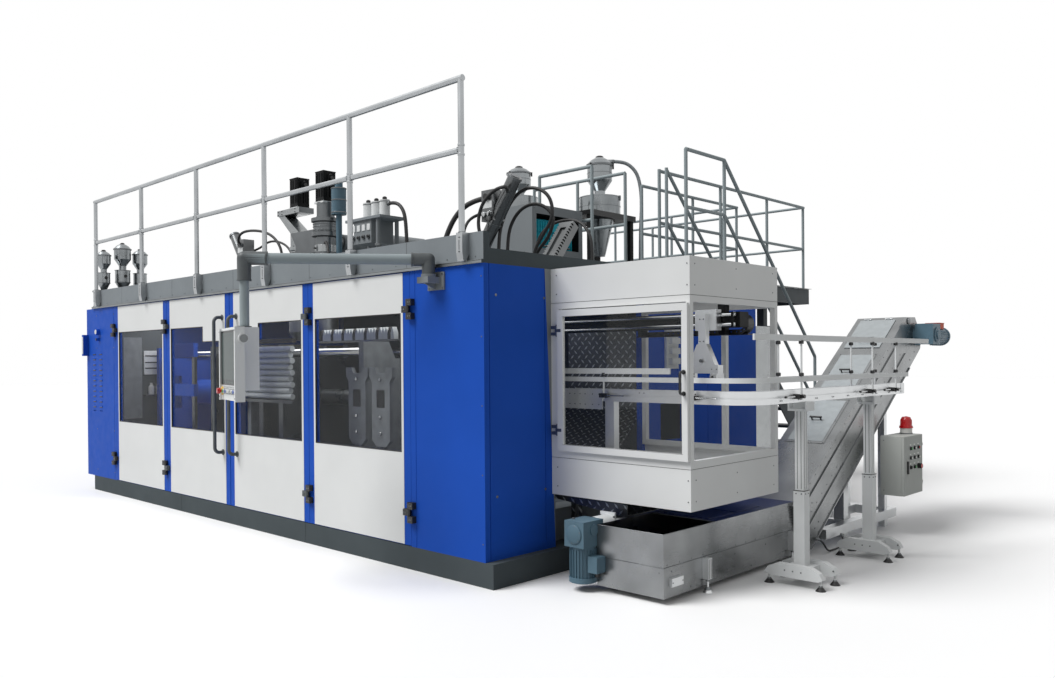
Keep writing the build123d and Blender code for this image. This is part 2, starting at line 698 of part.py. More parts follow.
def hoppers():
    """Stainless drum hoppers over the feed throats, with the platform of the tall one."""
    pieces = hopper_table()
    rim = HOPPER_D / 2
    floor = TABLE_Z + TABLE_T
    drum = Pos(HOPPER_X, HOPPER_Y, floor) * Cylinder(rim, 230, align=(Align.CENTER, Align.CENTER, Align.MIN))
    cone = Pos(HOPPER_X, HOPPER_Y, floor) * (Rot(180, 0, 0) * Cone(
        rim - 70, 60, 480, align=(Align.CENTER, Align.CENTER, Align.MIN)))
    pieces.append(joined([drum, cone]))
    throat_top = EXTRUDER_Z + 200
    small = Pos(EXTRUDER_X, FEED_Y, throat_top) * Cone(70, 240, 420, align=(Align.CENTER, Align.CENTER, Align.MIN))
    small_drum = Pos(EXTRUDER_X, FEED_Y, throat_top + 420) * Cylinder(
        240, 200, align=(Align.CENTER, Align.CENTER, Align.MIN))
    pieces.append(joined([small, small_drum]))
    return grouped(pieces)


def hopper_table():
    """Top, legs and feed box of the black platform that carries the drum hopper."""
    x0 = HOPPER_X - 330.0
    x1 = HOPPER_X + 285.0
    y0 = HOPPER_Y - 515.0
    y1 = HOPPER_Y + 335.0
    top = block(x0, x1, y0, y1, TABLE_Z, TABLE_Z + TABLE_T)
    top -= upright(HOPPER_X, HOPPER_Y, TABLE_Z, TABLE_Z + TABLE_T, HOPPER_D - 130)
    pieces = [top]
    for x in (x0 + 20, x1 - 80):
        for y in (y0 + 20, y1 - 80):
            low = EDGE_TOP if y < SHELL_Y1 else 0
            leg = block(x, x + 60, y, y + 60, low, TABLE_Z)
            if x > HOPPER_X and y > HOPPER_Y:
                leg += block(x1 - 30, x1 + 165, y1 - 110, y1 + 65, WALK_Z - WALK_BEAM, FEED_BOX_Z)
            pieces.append(leg)
    return pieces


def loader(x, y, z, dia, height):
    """Vacuum loader: drum head with a domed lid on a cone and a neck."""
    profile = [(0, 0), (dia * 0.22, 0), (dia * 0.22, height * 0.16), (dia * 0.5, height * 0.42),
               (dia * 0.5, height * 0.78), (dia * 0.53, height * 0.79), (dia * 0.53, height * 0.83),
               (dia * 0.36, height * 0.94), (dia * 0.2, height), (0, height)]
    face = Plane.XZ * make_face(Polyline(*profile, close=True))
    return Pos(x, y, z) * revolve(face, axis=Axis.Z)


DOSER_X = SEAM_D - 4 * LEAF_PITCH - CABINET_L + 178.0
DOSER_SPOTS = ((YF + 146.0, 0.82), (YF + 379.0, 1.0), (YF + 600.0, 0.9))


def dosing_stand():
    """Frame over the left cabinet that carries the three dosing units."""
    y0 = DOSER_SPOTS[0][0] - 100
    y1 = DOSER_SPOTS[-1][0] + 70
    top = block(DOSER_X - 110, DOSER_X + 110, y0, y1, 2470, 2490)
    pieces = [top]
    for x in (DOSER_X - 100, DOSER_X + 70):
        for y in (y0 + 10, y1 - 40):
            low = SHELL_TOP if x < XL else DECK_Z
            pieces.append(block(x, x + 30, y, y + 30, low, 2470))
    for y, scale in DOSER_SPOTS:
        profile = [(0, 0), (30, 0), (90 * scale, 110 * scale), (90 * scale, 270 * scale), (0, 270 * scale)]
        face = Plane.XZ * make_face(Polyline(*profile, close=True))
        pieces.append(Pos(DOSER_X, y, 2490) * revolve(face, axis=Axis.Z))
    return joined(pieces)


def loader_with_outlet():
    """Loader over the drum hopper, with the stub its hose leaves from."""
    head = loader(HOPPER_X, HOPPER_Y, TABLE_Z + TABLE_T + 230 + SEAT, 300, 480)
    stub = rod((HOPPER_X, HOPPER_Y, OUTLET_Z), outlet_point(145.0), 50)
    return joined([head, stub])


def outlet_point(out):
    """Point on the axis of the loader's hose stub."""
    return (HOPPER_X + out * 0.72, HOPPER_Y + out * 0.69, OUTLET_Z)


def vacuum_loaders():
    pieces = [dosing_stand(), loader_with_outlet(),
              loader(EXTRUDER_X, FEED_Y, EXTRUDER_Z + 820 + SEAT, 300, 380)]
    for y, scale in DOSER_SPOTS:
        z = 2490 + 270 * scale + SEAT
        pieces.append(loader(DOSER_X, y, z, 200 * scale, 330 * scale))
    return grouped(pieces)


# Die heads
def die_head():
    pieces = []
    z_base = DECK_Z + 30.0
    plate = block(HEAD_OPEN_X[0] - 60, HEAD_OPEN_X[1] + 60, HEAD_OPEN_Y[0] - 60, HEAD_OPEN_Y[1] + 60, DECK_Z, z_base)
    pieces.append(plate)
    for x, dia, top in ((HEAD_X[0], 160.0, 2960.0), (HEAD_X[1], 217.0, 3209.0)):
        profile = [(0, HEAD_LOW_Z), (70, HEAD_LOW_Z), (120, HEAD_LOW_Z + 90), (120, DECK_Z - 160),
                   (170, DECK_Z - 120), (170, z_base), (dia * 0.5, z_base), (dia * 0.5, top - 360),
                   (dia * 0.66, top - 350), (dia * 0.66, top - 310), (dia * 0.58, top - 300),
                   (dia * 0.58, top - 210), (dia * 0.68, top - 200), (dia * 0.68, top - 165),
                   (dia * 0.42, top - 155), (dia * 0.42, top), (0, top)]
        face = Plane.XZ * make_face(Polyline(*profile, close=True))
        pieces.append(Pos(x, HEAD_Y, 0) * revolve(face, axis=Axis.Z))
    feed = rod((EXTRUDER_X, HEAD_Y, EXTRUDER_Z), (EXTRUDER_X, HEAD_Y + 219.7, EXTRUDER_Z), 150)
    manifold = block(HEAD_X[0] - 40, HEAD_X[1] + 60, HEAD_Y - 90, HEAD_Y + 90, 2700, 2940)
    arm = extrude_xz([(XR - 4235, 3150), (XR - 4120, 3150), (XR - 3640, 2800), (XR - 3640, 2680), (XR - 3700, 2680)],
                     HEAD_Y - 70, HEAD_Y + 70)
    arm_box = block(XR - 4235, XR - 3800, HEAD_Y - 90, HEAD_Y + 90, 3150, SERVO_TOP - SERVO_H)
    shelf = block(XR - 2876, XR - 2317, HEAD_Y - 150, HEAD_Y + 150, 2920, 2945)
    valve = block(XR - 2760, XR - 2480, HEAD_Y - 130, HEAD_Y + 130, 2700, 2920)
    legs = [upright(x, HEAD_Y + dy, DECK_Z, 2920, 40) for x in (XR - 2840, XR - 2400) for dy in (-110, 110)]
    bottle = [upright(XR - 2700 + i * 130, HEAD_Y, 2945, 3110, 100) for i in range(3)]
    return grouped([joined(pieces + [feed, manifold, arm, arm_box]), joined([shelf, valve] + legs + bottle)])


def servo(x, y, top):
    """Finned servo motor standing on its flange."""
    half = SERVO_W / 2
    body = block(x - half, x + half, y - half, y + half, top - SERVO_H, top)
    body -= block(x - half, x + half, y - 6, y + 6, top - SERVO_H + 50, top - 20) - block(
        x - half + 12, x + half - 12, y - 7, y + 7, top - SERVO_H, top)
    body -= block(x - 6, x + 6, y - half, y + half, top - SERVO_H + 50, top - 20) - block(
        x - 7, x + 7, y - half + 12, y + half - 12, top - SERVO_H, top)
    return joined([body, block(x + half, x + half + 30, y - 30, y + 30, top - 110, top - 40)])


def servo_motors():
    pieces = [servo(HEAD_X[0], HEAD_Y, SERVO_TOP + SEAT), servo(HEAD_X[1], HEAD_Y, SERVO_TOP + SEAT)]
    filter_x = XR - 3200.0
    filter_can = joined([upright(filter_x, HEAD_Y, DECK_Z + 30 + SEAT, 3060, 60), upright(filter_x, HEAD_Y, 3060, 3330, 150),
                         upright(filter_x, HEAD_Y, 3330, 3390, 80)])
    pieces.append(filter_can)
    return grouped(pieces)


# Leaning pressure cylinders at both ends of the roof
CYLINDER_Y = YF + 1200.0
CYLINDER_FEET = ((XR - 1455.0, 1.0), (XR - 5310.0, -1.0))
CYLINDER_LEAN = 35.4
CYLINDER_L = 894.0
CYLINDER_D = 122.0


def tilt_cylinders():
    pieces = []
    lean = radians(CYLINDER_LEAN)
    for x, way in CYLINDER_FEET:
        foot = (x, CYLINDER_Y, DECK_Z + 130.0)
        tip = (x + way * CYLINDER_L * sin(lean), CYLINDER_Y, DECK_Z + 130.0 + CYLINDER_L * cos(lean))
        body = rod(foot, tip, CYLINDER_D)
        cradle = extrude_xz([(x - 130, DECK_Z), (x + 130, DECK_Z), (x + 90, DECK_Z + 200), (x - 90, DECK_Z + 200)],
                            CYLINDER_Y - 90, CYLINDER_Y + 90)
        mid_x = x + way * 240.0
        mid_z = DECK_Z + 620.0
        valve = block(mid_x - 75, mid_x + 75, CYLINDER_Y - 70, CYLINDER_Y + 70, mid_z - 120, mid_z + 150)
        pieces.append(joined([body, cradle, valve]))
    pieces.append(leaning_rail())
    return grouped(pieces)


def leaning_rail():
    """Ribbed rail of the die head's lift, leaning back on its foot beside the power unit."""
    x0, x1 = END_X - 350.0, END_X - 200.0
    foot_y, foot_z = YF + 979.0, DECK_Z
    run, height, thick = 270.0, 352.0, 78.0
    length = sqrt(run * run + height * height)
    c, s = run / length, height / length

    def at(along, up):
        return (foot_y + along * c - up * s, foot_z + along * s + up * c)

    rail = extrude_yz([at(-40, 0), at(length, 0), at(length, thick), at(-40, thick)], x0, x1)
    grooves = 14
    pitch = (length - 40) / grooves
    for i in range(grooves):
        low = 30 + i * pitch
        for edge in (x0, x1 - 12):
            rail -= extrude_yz([at(low, thick - 22), at(low + pitch / 2, thick - 22), at(low + pitch / 2, thick + 1),
                                at(low, thick + 1)], edge, edge + 12)
    rail -= extrude_yz([at(60, thick - 14), at(length - 60, thick - 14), at(length - 60, thick + 1),
                        at(60, thick + 1)], x0 + 45, x1 - 45)
    rail &= block(x0 - 1, x1 + 1, YF, YF + 2000.0, DECK_Z, EDGE_TOP + 600)
    base = block(x0 - 20, x1 + 20, foot_y - 60, foot_y + 90, DECK_Z, DECK_Z + 14)
    return joined([rail, base])


# Operator panel
def arm_point(along, z):
    """Point on the swing arm at a distance from its pivot."""
    return (ARM_X + along * cos(ARM_DIR), ARM_Y + along * sin(ARM_DIR), z)


def arm_bracket():
    plate = block(ARM_X - 85, ARM_X + 95, YF - 14, YF - SEAT, 2088, 2218)
    shelf = block(ARM_X - 61, ARM_X + 61, YF - 133, YF - 14, 2135, 2180)
    rib = extrude_yz([(YF - 120, 2135), (YF - 14, 2135), (YF - 14, 2092)], ARM_X - 6, ARM_X + 6)
    collar = upright(ARM_X, ARM_Y, 2180, 2200, 110)
    spigot = upright(ARM_X, ARM_Y, 2200, 2250, 50)
    return joined([plate, shelf, rib, collar, spigot])


def pendant_arm():
    low = 2200.0 + SWIVEL_GAP
    riser = upright(ARM_X, ARM_Y, low, ARM_Z, ELBOW_D) - upright(ARM_X, ARM_Y, low, 2250.4, 50.1)
    knee = Pos(ARM_X, ARM_Y, ARM_Z) * Sphere(ELBOW_D / 2)
    near = rod((ARM_X, ARM_Y, ARM_Z), arm_point(110, ARM_Z), ELBOW_D)
    tube = rod(arm_point(100, ARM_Z), arm_point(ARM_LENGTH - 100, ARM_Z), ARM_TUBE_D)
    far = rod(arm_point(ARM_LENGTH - 150, ARM_Z), arm_point(ARM_LENGTH, ARM_Z), ELBOW_D)
    far_knee = Pos(*arm_point(ARM_LENGTH, ARM_Z)) * Sphere(ELBOW_D / 2)
    down = rod(arm_point(ARM_LENGTH, ARM_Z), arm_point(ARM_LENGTH, ARM_Z - 150), ELBOW_D)
    drop = rod(arm_point(ARM_LENGTH, ARM_Z - 140), arm_point(ARM_LENGTH, PANEL_TOP + SWIVEL_GAP + 12), DROP_TUBE_D)
    flange = rod(arm_point(ARM_LENGTH, PANEL_TOP + SWIVEL_GAP + 12), arm_point(ARM_LENGTH, PANEL_TOP + SWIVEL_GAP), 96)
    return joined([riser, knee, near, tube, far, far_knee, down, drop, flange])


def panel_place():
    """Placement of the operator panel: local -Y is the screen side."""
    x, y, _ = arm_point(ARM_LENGTH, 0)
    return Pos(x, y, 0) * Rot(0, 0, -PANEL_TURN)


STOP_X = -PANEL_W / 2 + 62.0
BUTTON_Z = PANEL_TOP - PANEL_H + 62.0


def hmi_panel():
    z0 = PANEL_TOP - PANEL_H
    front = -PANEL_BACK
    half = PANEL_W / 2
    case = block(-half + 20, half - 20, front, front + PANEL_T, z0, PANEL_TOP)
    for side in (-1, 1):
        x0 = min(side * half, side * (half - 26))
        case += block(x0, x0 + 26, front - 14, front + PANEL_T + 6, z0 - 4, PANEL_TOP + 4 - 4)
    case -= block(-240, 240, front, front + 3, z0 + 104, PANEL_TOP - 18)
    box = block(-170, 170, front + PANEL_T, 60, z0 + 70, PANEL_TOP)
    case = joined([case, box])
    for i in range(8):
        x = STOP_X + 66 + i * 46
        face = front - (16 if i % 2 == 0 else 10)
        case += rod((x, front, BUTTON_Z), (x, face, BUTTON_Z), 30)
    case += rod((STOP_X, front, BUTTON_Z), (STOP_X, front - 8, BUTTON_Z), 52)
    case -= rod((STOP_X, front + 12, BUTTON_Z), (STOP_X, front - 8, BUTTON_Z), 18.2)
    for side in (-1, 1):
        case += rod((side * half, front + 40, PANEL_TOP - 80), (side * (half + 26), front + 40, PANEL_TOP - 80), 70)
    return panel_place() * case


def emergency_stop():
    front = -PANEL_BACK - 8.0
    stem = rod((STOP_X, front + 12, BUTTON_Z), (STOP_X, front - 12, BUTTON_Z), 18)
    head = rod((STOP_X, front - 12, BUTTON_Z), (STOP_X, front - 34, BUTTON_Z), 40)
    return panel_place() * joined([stem, head])


# Guard cage
def cage_frame():
    shell = block(CAGE_X0, CAGE_X1, CAGE_Y0, CAGE_Y1, CAGE_Z0, SHELL_TOP)
    t = CAGE_SHEET
    p = CAGE_POST
    shell -= block(CAGE_X0 - 1, CAGE_X1 - p, CAGE_Y0 + p, CAGE_Y1 - p, CAGE_Z0 + t, SHELL_TOP - t)
    shell -= block(CAGE_X0 - 1, CAGE_X1 - t, CAGE_Y0 + t, CAGE_Y1 - t, CAGE_Z0 + t, SILL_Z - p)
    shell -= block(CAGE_X0 - 1, CAGE_X1 - t, CAGE_Y0 + t, CAGE_Y1 - t, LINTEL_Z + p, SHELL_TOP - t)
    shell -= block(CAGE_X1 - p, CAGE_X1, CAGE_Y0 + p, CAGE_Y1 - p, SILL_Z, LINTEL_Z)
    shell -= block(CAGE_X0 + p, CAGE_X1 - p, CAGE_Y1 - p, CAGE_Y1, SILL_Z, LINTEL_Z)
    shell -= block(CAGE_X0 + p + 36, CAGE_X1 - p + 10, CAGE_Y0, CAGE_Y0 + p, SILL_Z, LINTEL_Z)
    for z in (850.0, 1993.0):
        shell -= block(CAGE_X0, CAGE_X1, CAGE_Y0, CAGE_Y0 + 2, z, z + 4)
        shell -= block(CAGE_X1 - 2, CAGE_X1, CAGE_Y0, CAGE_Y1, z, z + 4)
    mid_post = block(XR + 685.0, XR + 725.0, CAGE_Y1 - p, CAGE_Y1, SILL_Z, LINTEL_Z)
    shell += mid_post
    for z in CAGE_HINGE_ZS:
        shell += cage_knuckle(z + 24, False)
        shell += cage_knuckle(z - 24, False)
        shell += upright(CAGE_PIN_X, CAGE_PIN_Y, z - 44, z + 44, 10)
    return shell


CAGE_PIN_X = XR - 12.0
CAGE_PIN_Y = CAGE_Y0 - 16.0


def cage_knuckle(z, moving):
    """One knuckle of the cage door hinge, on the frame side or on the door side."""
    barrel = upright(CAGE_PIN_X, CAGE_PIN_Y, z - 11.5, z + 11.5, 22)
    if moving:
        flat = block(CAGE_PIN_X, CAGE_PIN_X + 52, CAGE_PIN_Y - 11, CAGE_PIN_Y - 1, z - 11.5, z + 11.5)
        return joined([barrel, flat]) - upright(CAGE_PIN_X, CAGE_PIN_Y, z - 12, z + 12, 10.1)
    flat = block(CAGE_PIN_X - 44, CAGE_PIN_X, CAGE_PIN_Y - 11, CAGE_Y0, z - 11.5, z + 11.5)
    return joined([barrel, flat])


CAGE_DOOR_Y0 = CAGE_Y0 - 27.0


def cage_door():
    """Front door frame of the cage, hung in front of the opening."""
    y0 = CAGE_DOOR_Y0 + 1.0
    y1 = CAGE_Y0 - 1.0
    frame = block(CAGE_DOOR_X0, CAGE_DOOR_X1, y0, y1, SILL_Z + 1, LINTEL_Z - 9)
    frame -= block(XR + 58, XR + 1090, y0, y1, 953, 1891)
    for z in CAGE_HINGE_ZS:
        frame += cage_knuckle(z, True)
    x = XR + 1108.0
    points = [(x, y0, 1349), (x, y0 - 46, 1349), (x, y0 - 46, 1490), (x, y0, 1490)]
    frame += bent_bar(points, 18, 16)
    return frame


def cage_pane():
    y = CAGE_Y0 - 16.0
    return block(XR + 58 + SEAT, XR + 1090 - SEAT, y, y + CAGE_GLASS_T, 953 + SEAT, 1891 - SEAT)


# Part picker inside the cage
PICK_Y = YF + 1300.0
PICK_Z = 1800.0
PICK_X = XR + 860.0
CHAIN_X0 = XR + 100.0
CHAIN_TIP = XR + 1090.0
CHAIN_Y1 = PICK_Y + 310.0
CHAIN_Z0 = 1754.0
CHAIN_H = 148.0
CHAIN_LINK = 34.0
CHAIN_PITCH = 46.0
CHAIN_TOP_RUN = 380.0


def takeout_beam():
    """Cross beam with two guide rails, its hangers and the energy chain in its tray."""
    x1 = CAGE_X1 - CAGE_POST - 1
    beam = block(CAGE_X0 - 900, x1, PICK_Y + 90, PICK_Y + 210, PICK_Z, PICK_Z + 110)
    parts = [beam]
    for z in (PICK_Z + 20, PICK_Z + 90):
        parts.append(rod((CAGE_X0 - 900, PICK_Y + 70, z), (CAGE_X1 - 60, PICK_Y + 70, z), 28))
    for x in (CAGE_X0 - 880, CAGE_X1 - 90):
        parts.append(block(x, x + 20, PICK_Y + 50, PICK_Y + 100, PICK_Z, PICK_Z + 110))
    parts.append(block(CHAIN_X0, CHAIN_TIP + 4, PICK_Y + 210, CHAIN_Y1 + 14, CHAIN_Z0 - 6, CHAIN_Z0))
    for x in (CHAIN_X0 + 60, CHAIN_TIP - 200):
        parts.append(block(x, x + 50, PICK_Y + 150, PICK_Y + 210, CHAIN_Z0 - 6, PICK_Z))
    hangers = [block(x, x + 60, PICK_Y + 120, PICK_Y + 180, PICK_Z + 110, SHELL_TOP - CAGE_SHEET)
               for x in (CAGE_X0 + 60, CAGE_X1 - 240)]
    return grouped([joined(parts), energy_chain()] + hangers)


def energy_chain():
    """Chain with its loop at the right, a groove between every two links."""
    radius = CHAIN_H / 2
    loop_x = CHAIN_TIP - radius
    mid_z = CHAIN_Z0 + radius
    y0, y1 = PICK_Y + 224.0, CHAIN_Y1
    turn_start, turn_end = (loop_x, y1, mid_z), (loop_x, y0, mid_z)
    whole = rod(turn_start, turn_end, CHAIN_H) + block(CHAIN_X0 + 20, loop_x, y0, y1, CHAIN_Z0, CHAIN_Z0 + CHAIN_H)
    whole -= rod(turn_start, turn_end, CHAIN_H - 2 * CHAIN_LINK)
    whole -= block(CHAIN_X0, loop_x, y0, y1, CHAIN_Z0 + CHAIN_LINK, CHAIN_Z0 + CHAIN_H - CHAIN_LINK)
    whole -= block(CHAIN_X0, loop_x - CHAIN_TOP_RUN, y0, y1, CHAIN_Z0 + CHAIN_LINK, CHAIN_Z0 + CHAIN_H)
    groove = 4.0
    x = loop_x - 10
    while x > CHAIN_X0 + 60:
        if x > loop_x - CHAIN_TOP_RUN + 20:
            whole -= block(x - groove, x, y0, y1, CHAIN_Z0 + CHAIN_H - groove, CHAIN_Z0 + CHAIN_H)
        for y in (y0, y1 - groove):
            whole -= block(x - groove, x, y, y + groove, CHAIN_Z0, CHAIN_Z0 + CHAIN_LINK)
        x -= CHAIN_PITCH
    return whole


def takeout_carriage():
    """Sliding head with a wedge bracket and two grippers."""
    x = PICK_X
    slide = block(x - 90, x + 90, PICK_Y + 20, PICK_Y + 86, PICK_Z - 20, PICK_Z + 130)
    for z in (PICK_Z + 20, PICK_Z + 90):
        slide -= rod((x - 91, PICK_Y + 70, z), (x + 91, PICK_Y + 70, z), 28.6)
    stem = block(x - 30, x + 30, PICK_Y - 30, PICK_Y + 20, PICK_Z - 120, PICK_Z + 100)
    wedge = extrude_xz([(x - 40, PICK_Z - 120), (x + 40, PICK_Z - 120), (x + 110, PICK_Z - 270), (x - 110, PICK_Z - 270)],
                       PICK_Y - 35, PICK_Y + 15)
    bar = block(x - 140, x + 140, PICK_Y - 45, PICK_Y + 25, PICK_Z - 330, PICK_Z - 270)
    jaws = [block(x + s * 110 - 26, x + s * 110 + 26, PICK_Y - 60, PICK_Y + 40, PICK_Z - 380, PICK_Z - 330) for s in (-1, 1)]
    return joined([slide, stem, wedge, bar] + jaws)


# Outfeed conveyor
def channel_face(half):
    """Section of the conveyor beam: flat-topped profile with a groove on each side."""
    mid = (CONV_Z0 + CONV_Z1) / 2
    outline = [(-half, CONV_Z0), (half, CONV_Z0), (half, mid - 5), (half - 8, mid - 5), (half - 8, mid + 5),
               (half, mid + 5), (half, CONV_Z1), (half - 12, CONV_Z1), (half - 12, CONV_Z1 - 8),
               (-half + 12, CONV_Z1 - 8), (-half + 12, CONV_Z1), (-half, CONV_Z1), (-half, mid + 5),
               (-half + 8, mid + 5), (-half + 8, mid - 5), (-half, mid - 5)]
    return make_face(Polyline(*outline, close=True))


def transfer_conveyor():
    half = CONV_W / 2
    bend_x = CONV_X - CONV_BEND_R
    bend_y = CONV_Y + CONV_BEND_R
    face_x = Plane(origin=(CONV_START, CONV_Y, 0), x_dir=(0, 1, 0), z_dir=(1, 0, 0)) * channel_face(half)
    along_x = extrude(face_x, amount=bend_x - CONV_START)
    face_y = Plane(origin=(CONV_X, CONV_END, 0), x_dir=(1, 0, 0), z_dir=(0, -1, 0)) * channel_face(half)
    along_y = extrude(face_y, amount=CONV_END - bend_y)
    face_b = Plane(origin=(bend_x, CONV_Y, 0), x_dir=(0, 1, 0), z_dir=(1, 0, 0)) * channel_face(half)
    bend = revolve(face_b, axis=Axis((bend_x, bend_y, 0), (0, 0, 1)), revolution_arc=90)
    plate = block(CONV_START - 60, CONV_START + 330, CONV_Y - half - 8, CONV_Y - half, CONV_Z0 - 60, CONV_Z1)
    hanger = block(XR + 300, XR + 380, CONV_Y - 30, CONV_Y + 30, CAGE_Z0 + CAGE_SHEET, CONV_Z0)
    return joined([along_x, bend, along_y, plate, hanger])


def guide_rails():
    """Product guides with their clamped posts along the outfeed."""
    pieces = []
    bend_x = CONV_X - CONV_BEND_R
    bend_y = CONV_Y + CONV_BEND_R
    near = CONV_X + GUIDE_NEAR
    far = CONV_X + GUIDE_FAR
    reach = CONV_BEND_R + GUIDE_NEAR
    pieces.append(rail_bar((XR - 60, CONV_Y - GUIDE_NEAR), (bend_x, CONV_Y - GUIDE_NEAR), GUIDE_LOW_Z, 34))
    pieces.append(rail_bar((near, bend_y), (near, CONV_END - 20), GUIDE_LOW_Z, 34))
    pieces.append(rail_bar((XR - 60, CONV_Y - GUIDE_NEAR), (XR + 900, CONV_Y - GUIDE_NEAR), 1492.0, 40))
    pieces.append(rail_bar((near, YF + 800), (near, CONV_END + 450), GUIDE_HIGH_Z, 40))
    pieces.append(rail_bar((far, YF + 1400), (far, CONV_END - 300), GUIDE_HIGH_Z, 30))
    pieces.append(rail_bar((far, YF + 1300), (far, CONV_END - 100), GUIDE_LOW_Z, 30))
    arc = Pos(bend_x, bend_y, GUIDE_LOW_Z) * (Cylinder(reach + 6, 34) - Cylinder(reach - 6, 34))
    arc = arc & block(bend_x, near + 10, CONV_Y - GUIDE_NEAR - 10, bend_y, GUIDE_LOW_Z - 20, GUIDE_LOW_Z + 20)
    pieces.append(arc)
    half = CONV_W / 2
    for y in (YF + 1434, YF + 2619, YF + 3082):
        pieces.append(upright(near, y, CONV_Z0 + 20, GUIDE_HIGH_Z, 14))
        pieces.append(upright(far, y, CONV_Z0 + 20, GUIDE_HIGH_Z if y < CONV_END - 300 else GUIDE_LOW_Z, 14))
        pieces.append(block(CONV_X + half + SEAT, near + 12, y - 30, y + 30, CONV_Z0 + 30, CONV_Z0 + 56))
        pieces.append(block(far - 12, CONV_X - half - SEAT, y - 30, y + 30, CONV_Z0 + 30, CONV_Z0 + 56))
    y = CONV_Y - GUIDE_NEAR
    for x in (XR + 330, XR + 1080):
        pieces.append(upright(x, y, CONV_Z0 + 20, 1492, 14))
        pieces.append(block(x - 30, x + 30, y - 12, CONV_Y - half - 8 - SEAT, CONV_Z0 + 30, CONV_Z0 + 56))
    return fitted(pieces)


def rail_bar(start, end, z, height):
    """Flat bar on edge between two points on plan."""
    (xa, ya), (xb, yb) = start, end
    t = 6.0
    return block(min(xa, xb) - t, max(xa, xb) + t, min(ya, yb) - t, max(ya, yb) + t, z - height / 2, z + height / 2)


def conveyor_stands():
    pieces = []
    for y in STAND_YS:
        low, high = STAND_LOW_W / 2, STAND_HIGH_W / 2
        x = CONV_X
        stand = [block(x - low, x + low, y - low, y + low, 70, STAND_SPLIT),
                 block(x - high, x + high, y - high, y + high, STAND_SPLIT, 1208),
                 block(x - 70, x + 70, y - 60, y + 60, 1208, 1224),
                 block(x - 70, x - 58, y - 60, y + 60, 1224, CONV_Z0 - SEAT),
                 block(x + 58, x + 70, y - 60, y + 60, 1224, CONV_Z0 - SEAT),
                 block(x - 70, x + 70, y - 8, y + 8, 1224, CONV_Z0 - SEAT)]
        for side in (-1, 1):
            ya = y + side * 110
            outline = [(x - 215, 78), (x - 180, 60), (x + 180, 60), (x + 215, 78), (x + 190, 118), (x + 120, 150),
                       (x - 120, 150), (x - 190, 118)]
            stand.append(extrude_xz(outline, ya - 26, ya + 26))
            stand.append(block(x - 90, x + 90, min(y, ya), max(y, ya), 80, 130))
            for end in (-190, 190):
                stand.append(upright(x + end, ya, 12, 90, 16))
                stand.append(Pos(x + end, ya, 0) * Cone(36, 16, 26, align=(Align.CENTER, Align.CENTER, Align.MIN)))
        pieces.append(joined(stand))
    return grouped(pieces)


# Scrap line
def scrap_tray():
    """Open stainless tray with a folded seam and feet."""
    w = TRAY_WALL
    tray = block(TRAY_X0, TRAY_X1, TRAY_Y0, TRAY_Y1, TRAY_Z0, TRAY_Z1)
    tray -= block(TRAY_X0 + w, TRAY_X1 - w, TRAY_Y0 + w, TRAY_Y0 + TRAY_MOUTH, TRAY_Z0 + 120, TRAY_Z1)
    tray -= block(TRAY_X0 + w, TRAY_X1 - w, TRAY_Y0 + TRAY_MOUTH - 1, TRAY_Y1 - w, TRAY_Z0 + 120, TRAY_Z1 - w)
    tray -= block(TRAY_X0, TRAY_X1, TRAY_Y0, TRAY_Y0 + 2, TRAY_SPLIT, TRAY_SPLIT + 4)
    tray -= block(TRAY_X1 - 2, TRAY_X1, TRAY_Y0, TRAY_Y1, TRAY_SPLIT, TRAY_SPLIT + 4)
    mouth = [rise_point(-100.3, -60), rise_point(-100.3, 350.3), rise_point(-60.3, 470.3), rise_point(500, 470.3),
             rise_point(500, -60)]
    tray -= extrude_yz(mouth, TRAY_X0 - 1, TRAY_X1 + 1)
    pieces = [tray]
    for x, y in ((TRAY_X1 + 26, YF + 945), (TRAY_X1 + 26, YF + 2150), (TRAY_X0 - 26, YF + 945), (TRAY_X0 - 26, YF + 2150)):
        way = 1 if x > TRAY_X1 else -1
        pieces.append(block(min(x - way * 26, x + way * 20), max(x - way * 26, x + way * 20), y - 22, y + 22, 90, 232))
        pieces.append(upright(x, y, 20, 95, 18))
        pieces.append(Pos(x, y, 0) * Cone(34, 16, 24, align=(Align.CENTER, Align.CENTER, Align.MIN)))
    pieces.append(block(TRAY_X1, TRAY_X1 + 24, TRAY_Y0 + 60, TRAY_Y0 + 190, 110, 165))
    return grouped([joined(pieces), scrap_chute()])


def scrap_chute():
    """Tread plate ramp from the machine to the tray."""
    x0, x1 = XR - 200, TRAY_X0 + TRAY_WALL
    low = TRAY_Z1 + SEAT
    outline = [(x0, low + 90), (x0, low + 75), (x1, low), (x1, low + 15)]
    ramp = extrude_xz(outline, YF + 800, YF + 1270)
    cheek = [extrude_xz([(x0, low + 85), (x1, low + 10), (x1, low + 90), (x0, low + 117)], y, y + 5) for y in (YF + 800, YF + 1265)]
    leg = block(XR - 160, XR - 100, YF + 1000, YF + 1060, BASE_H, low + 72)
    return joined([ramp] + cheek + [leg])


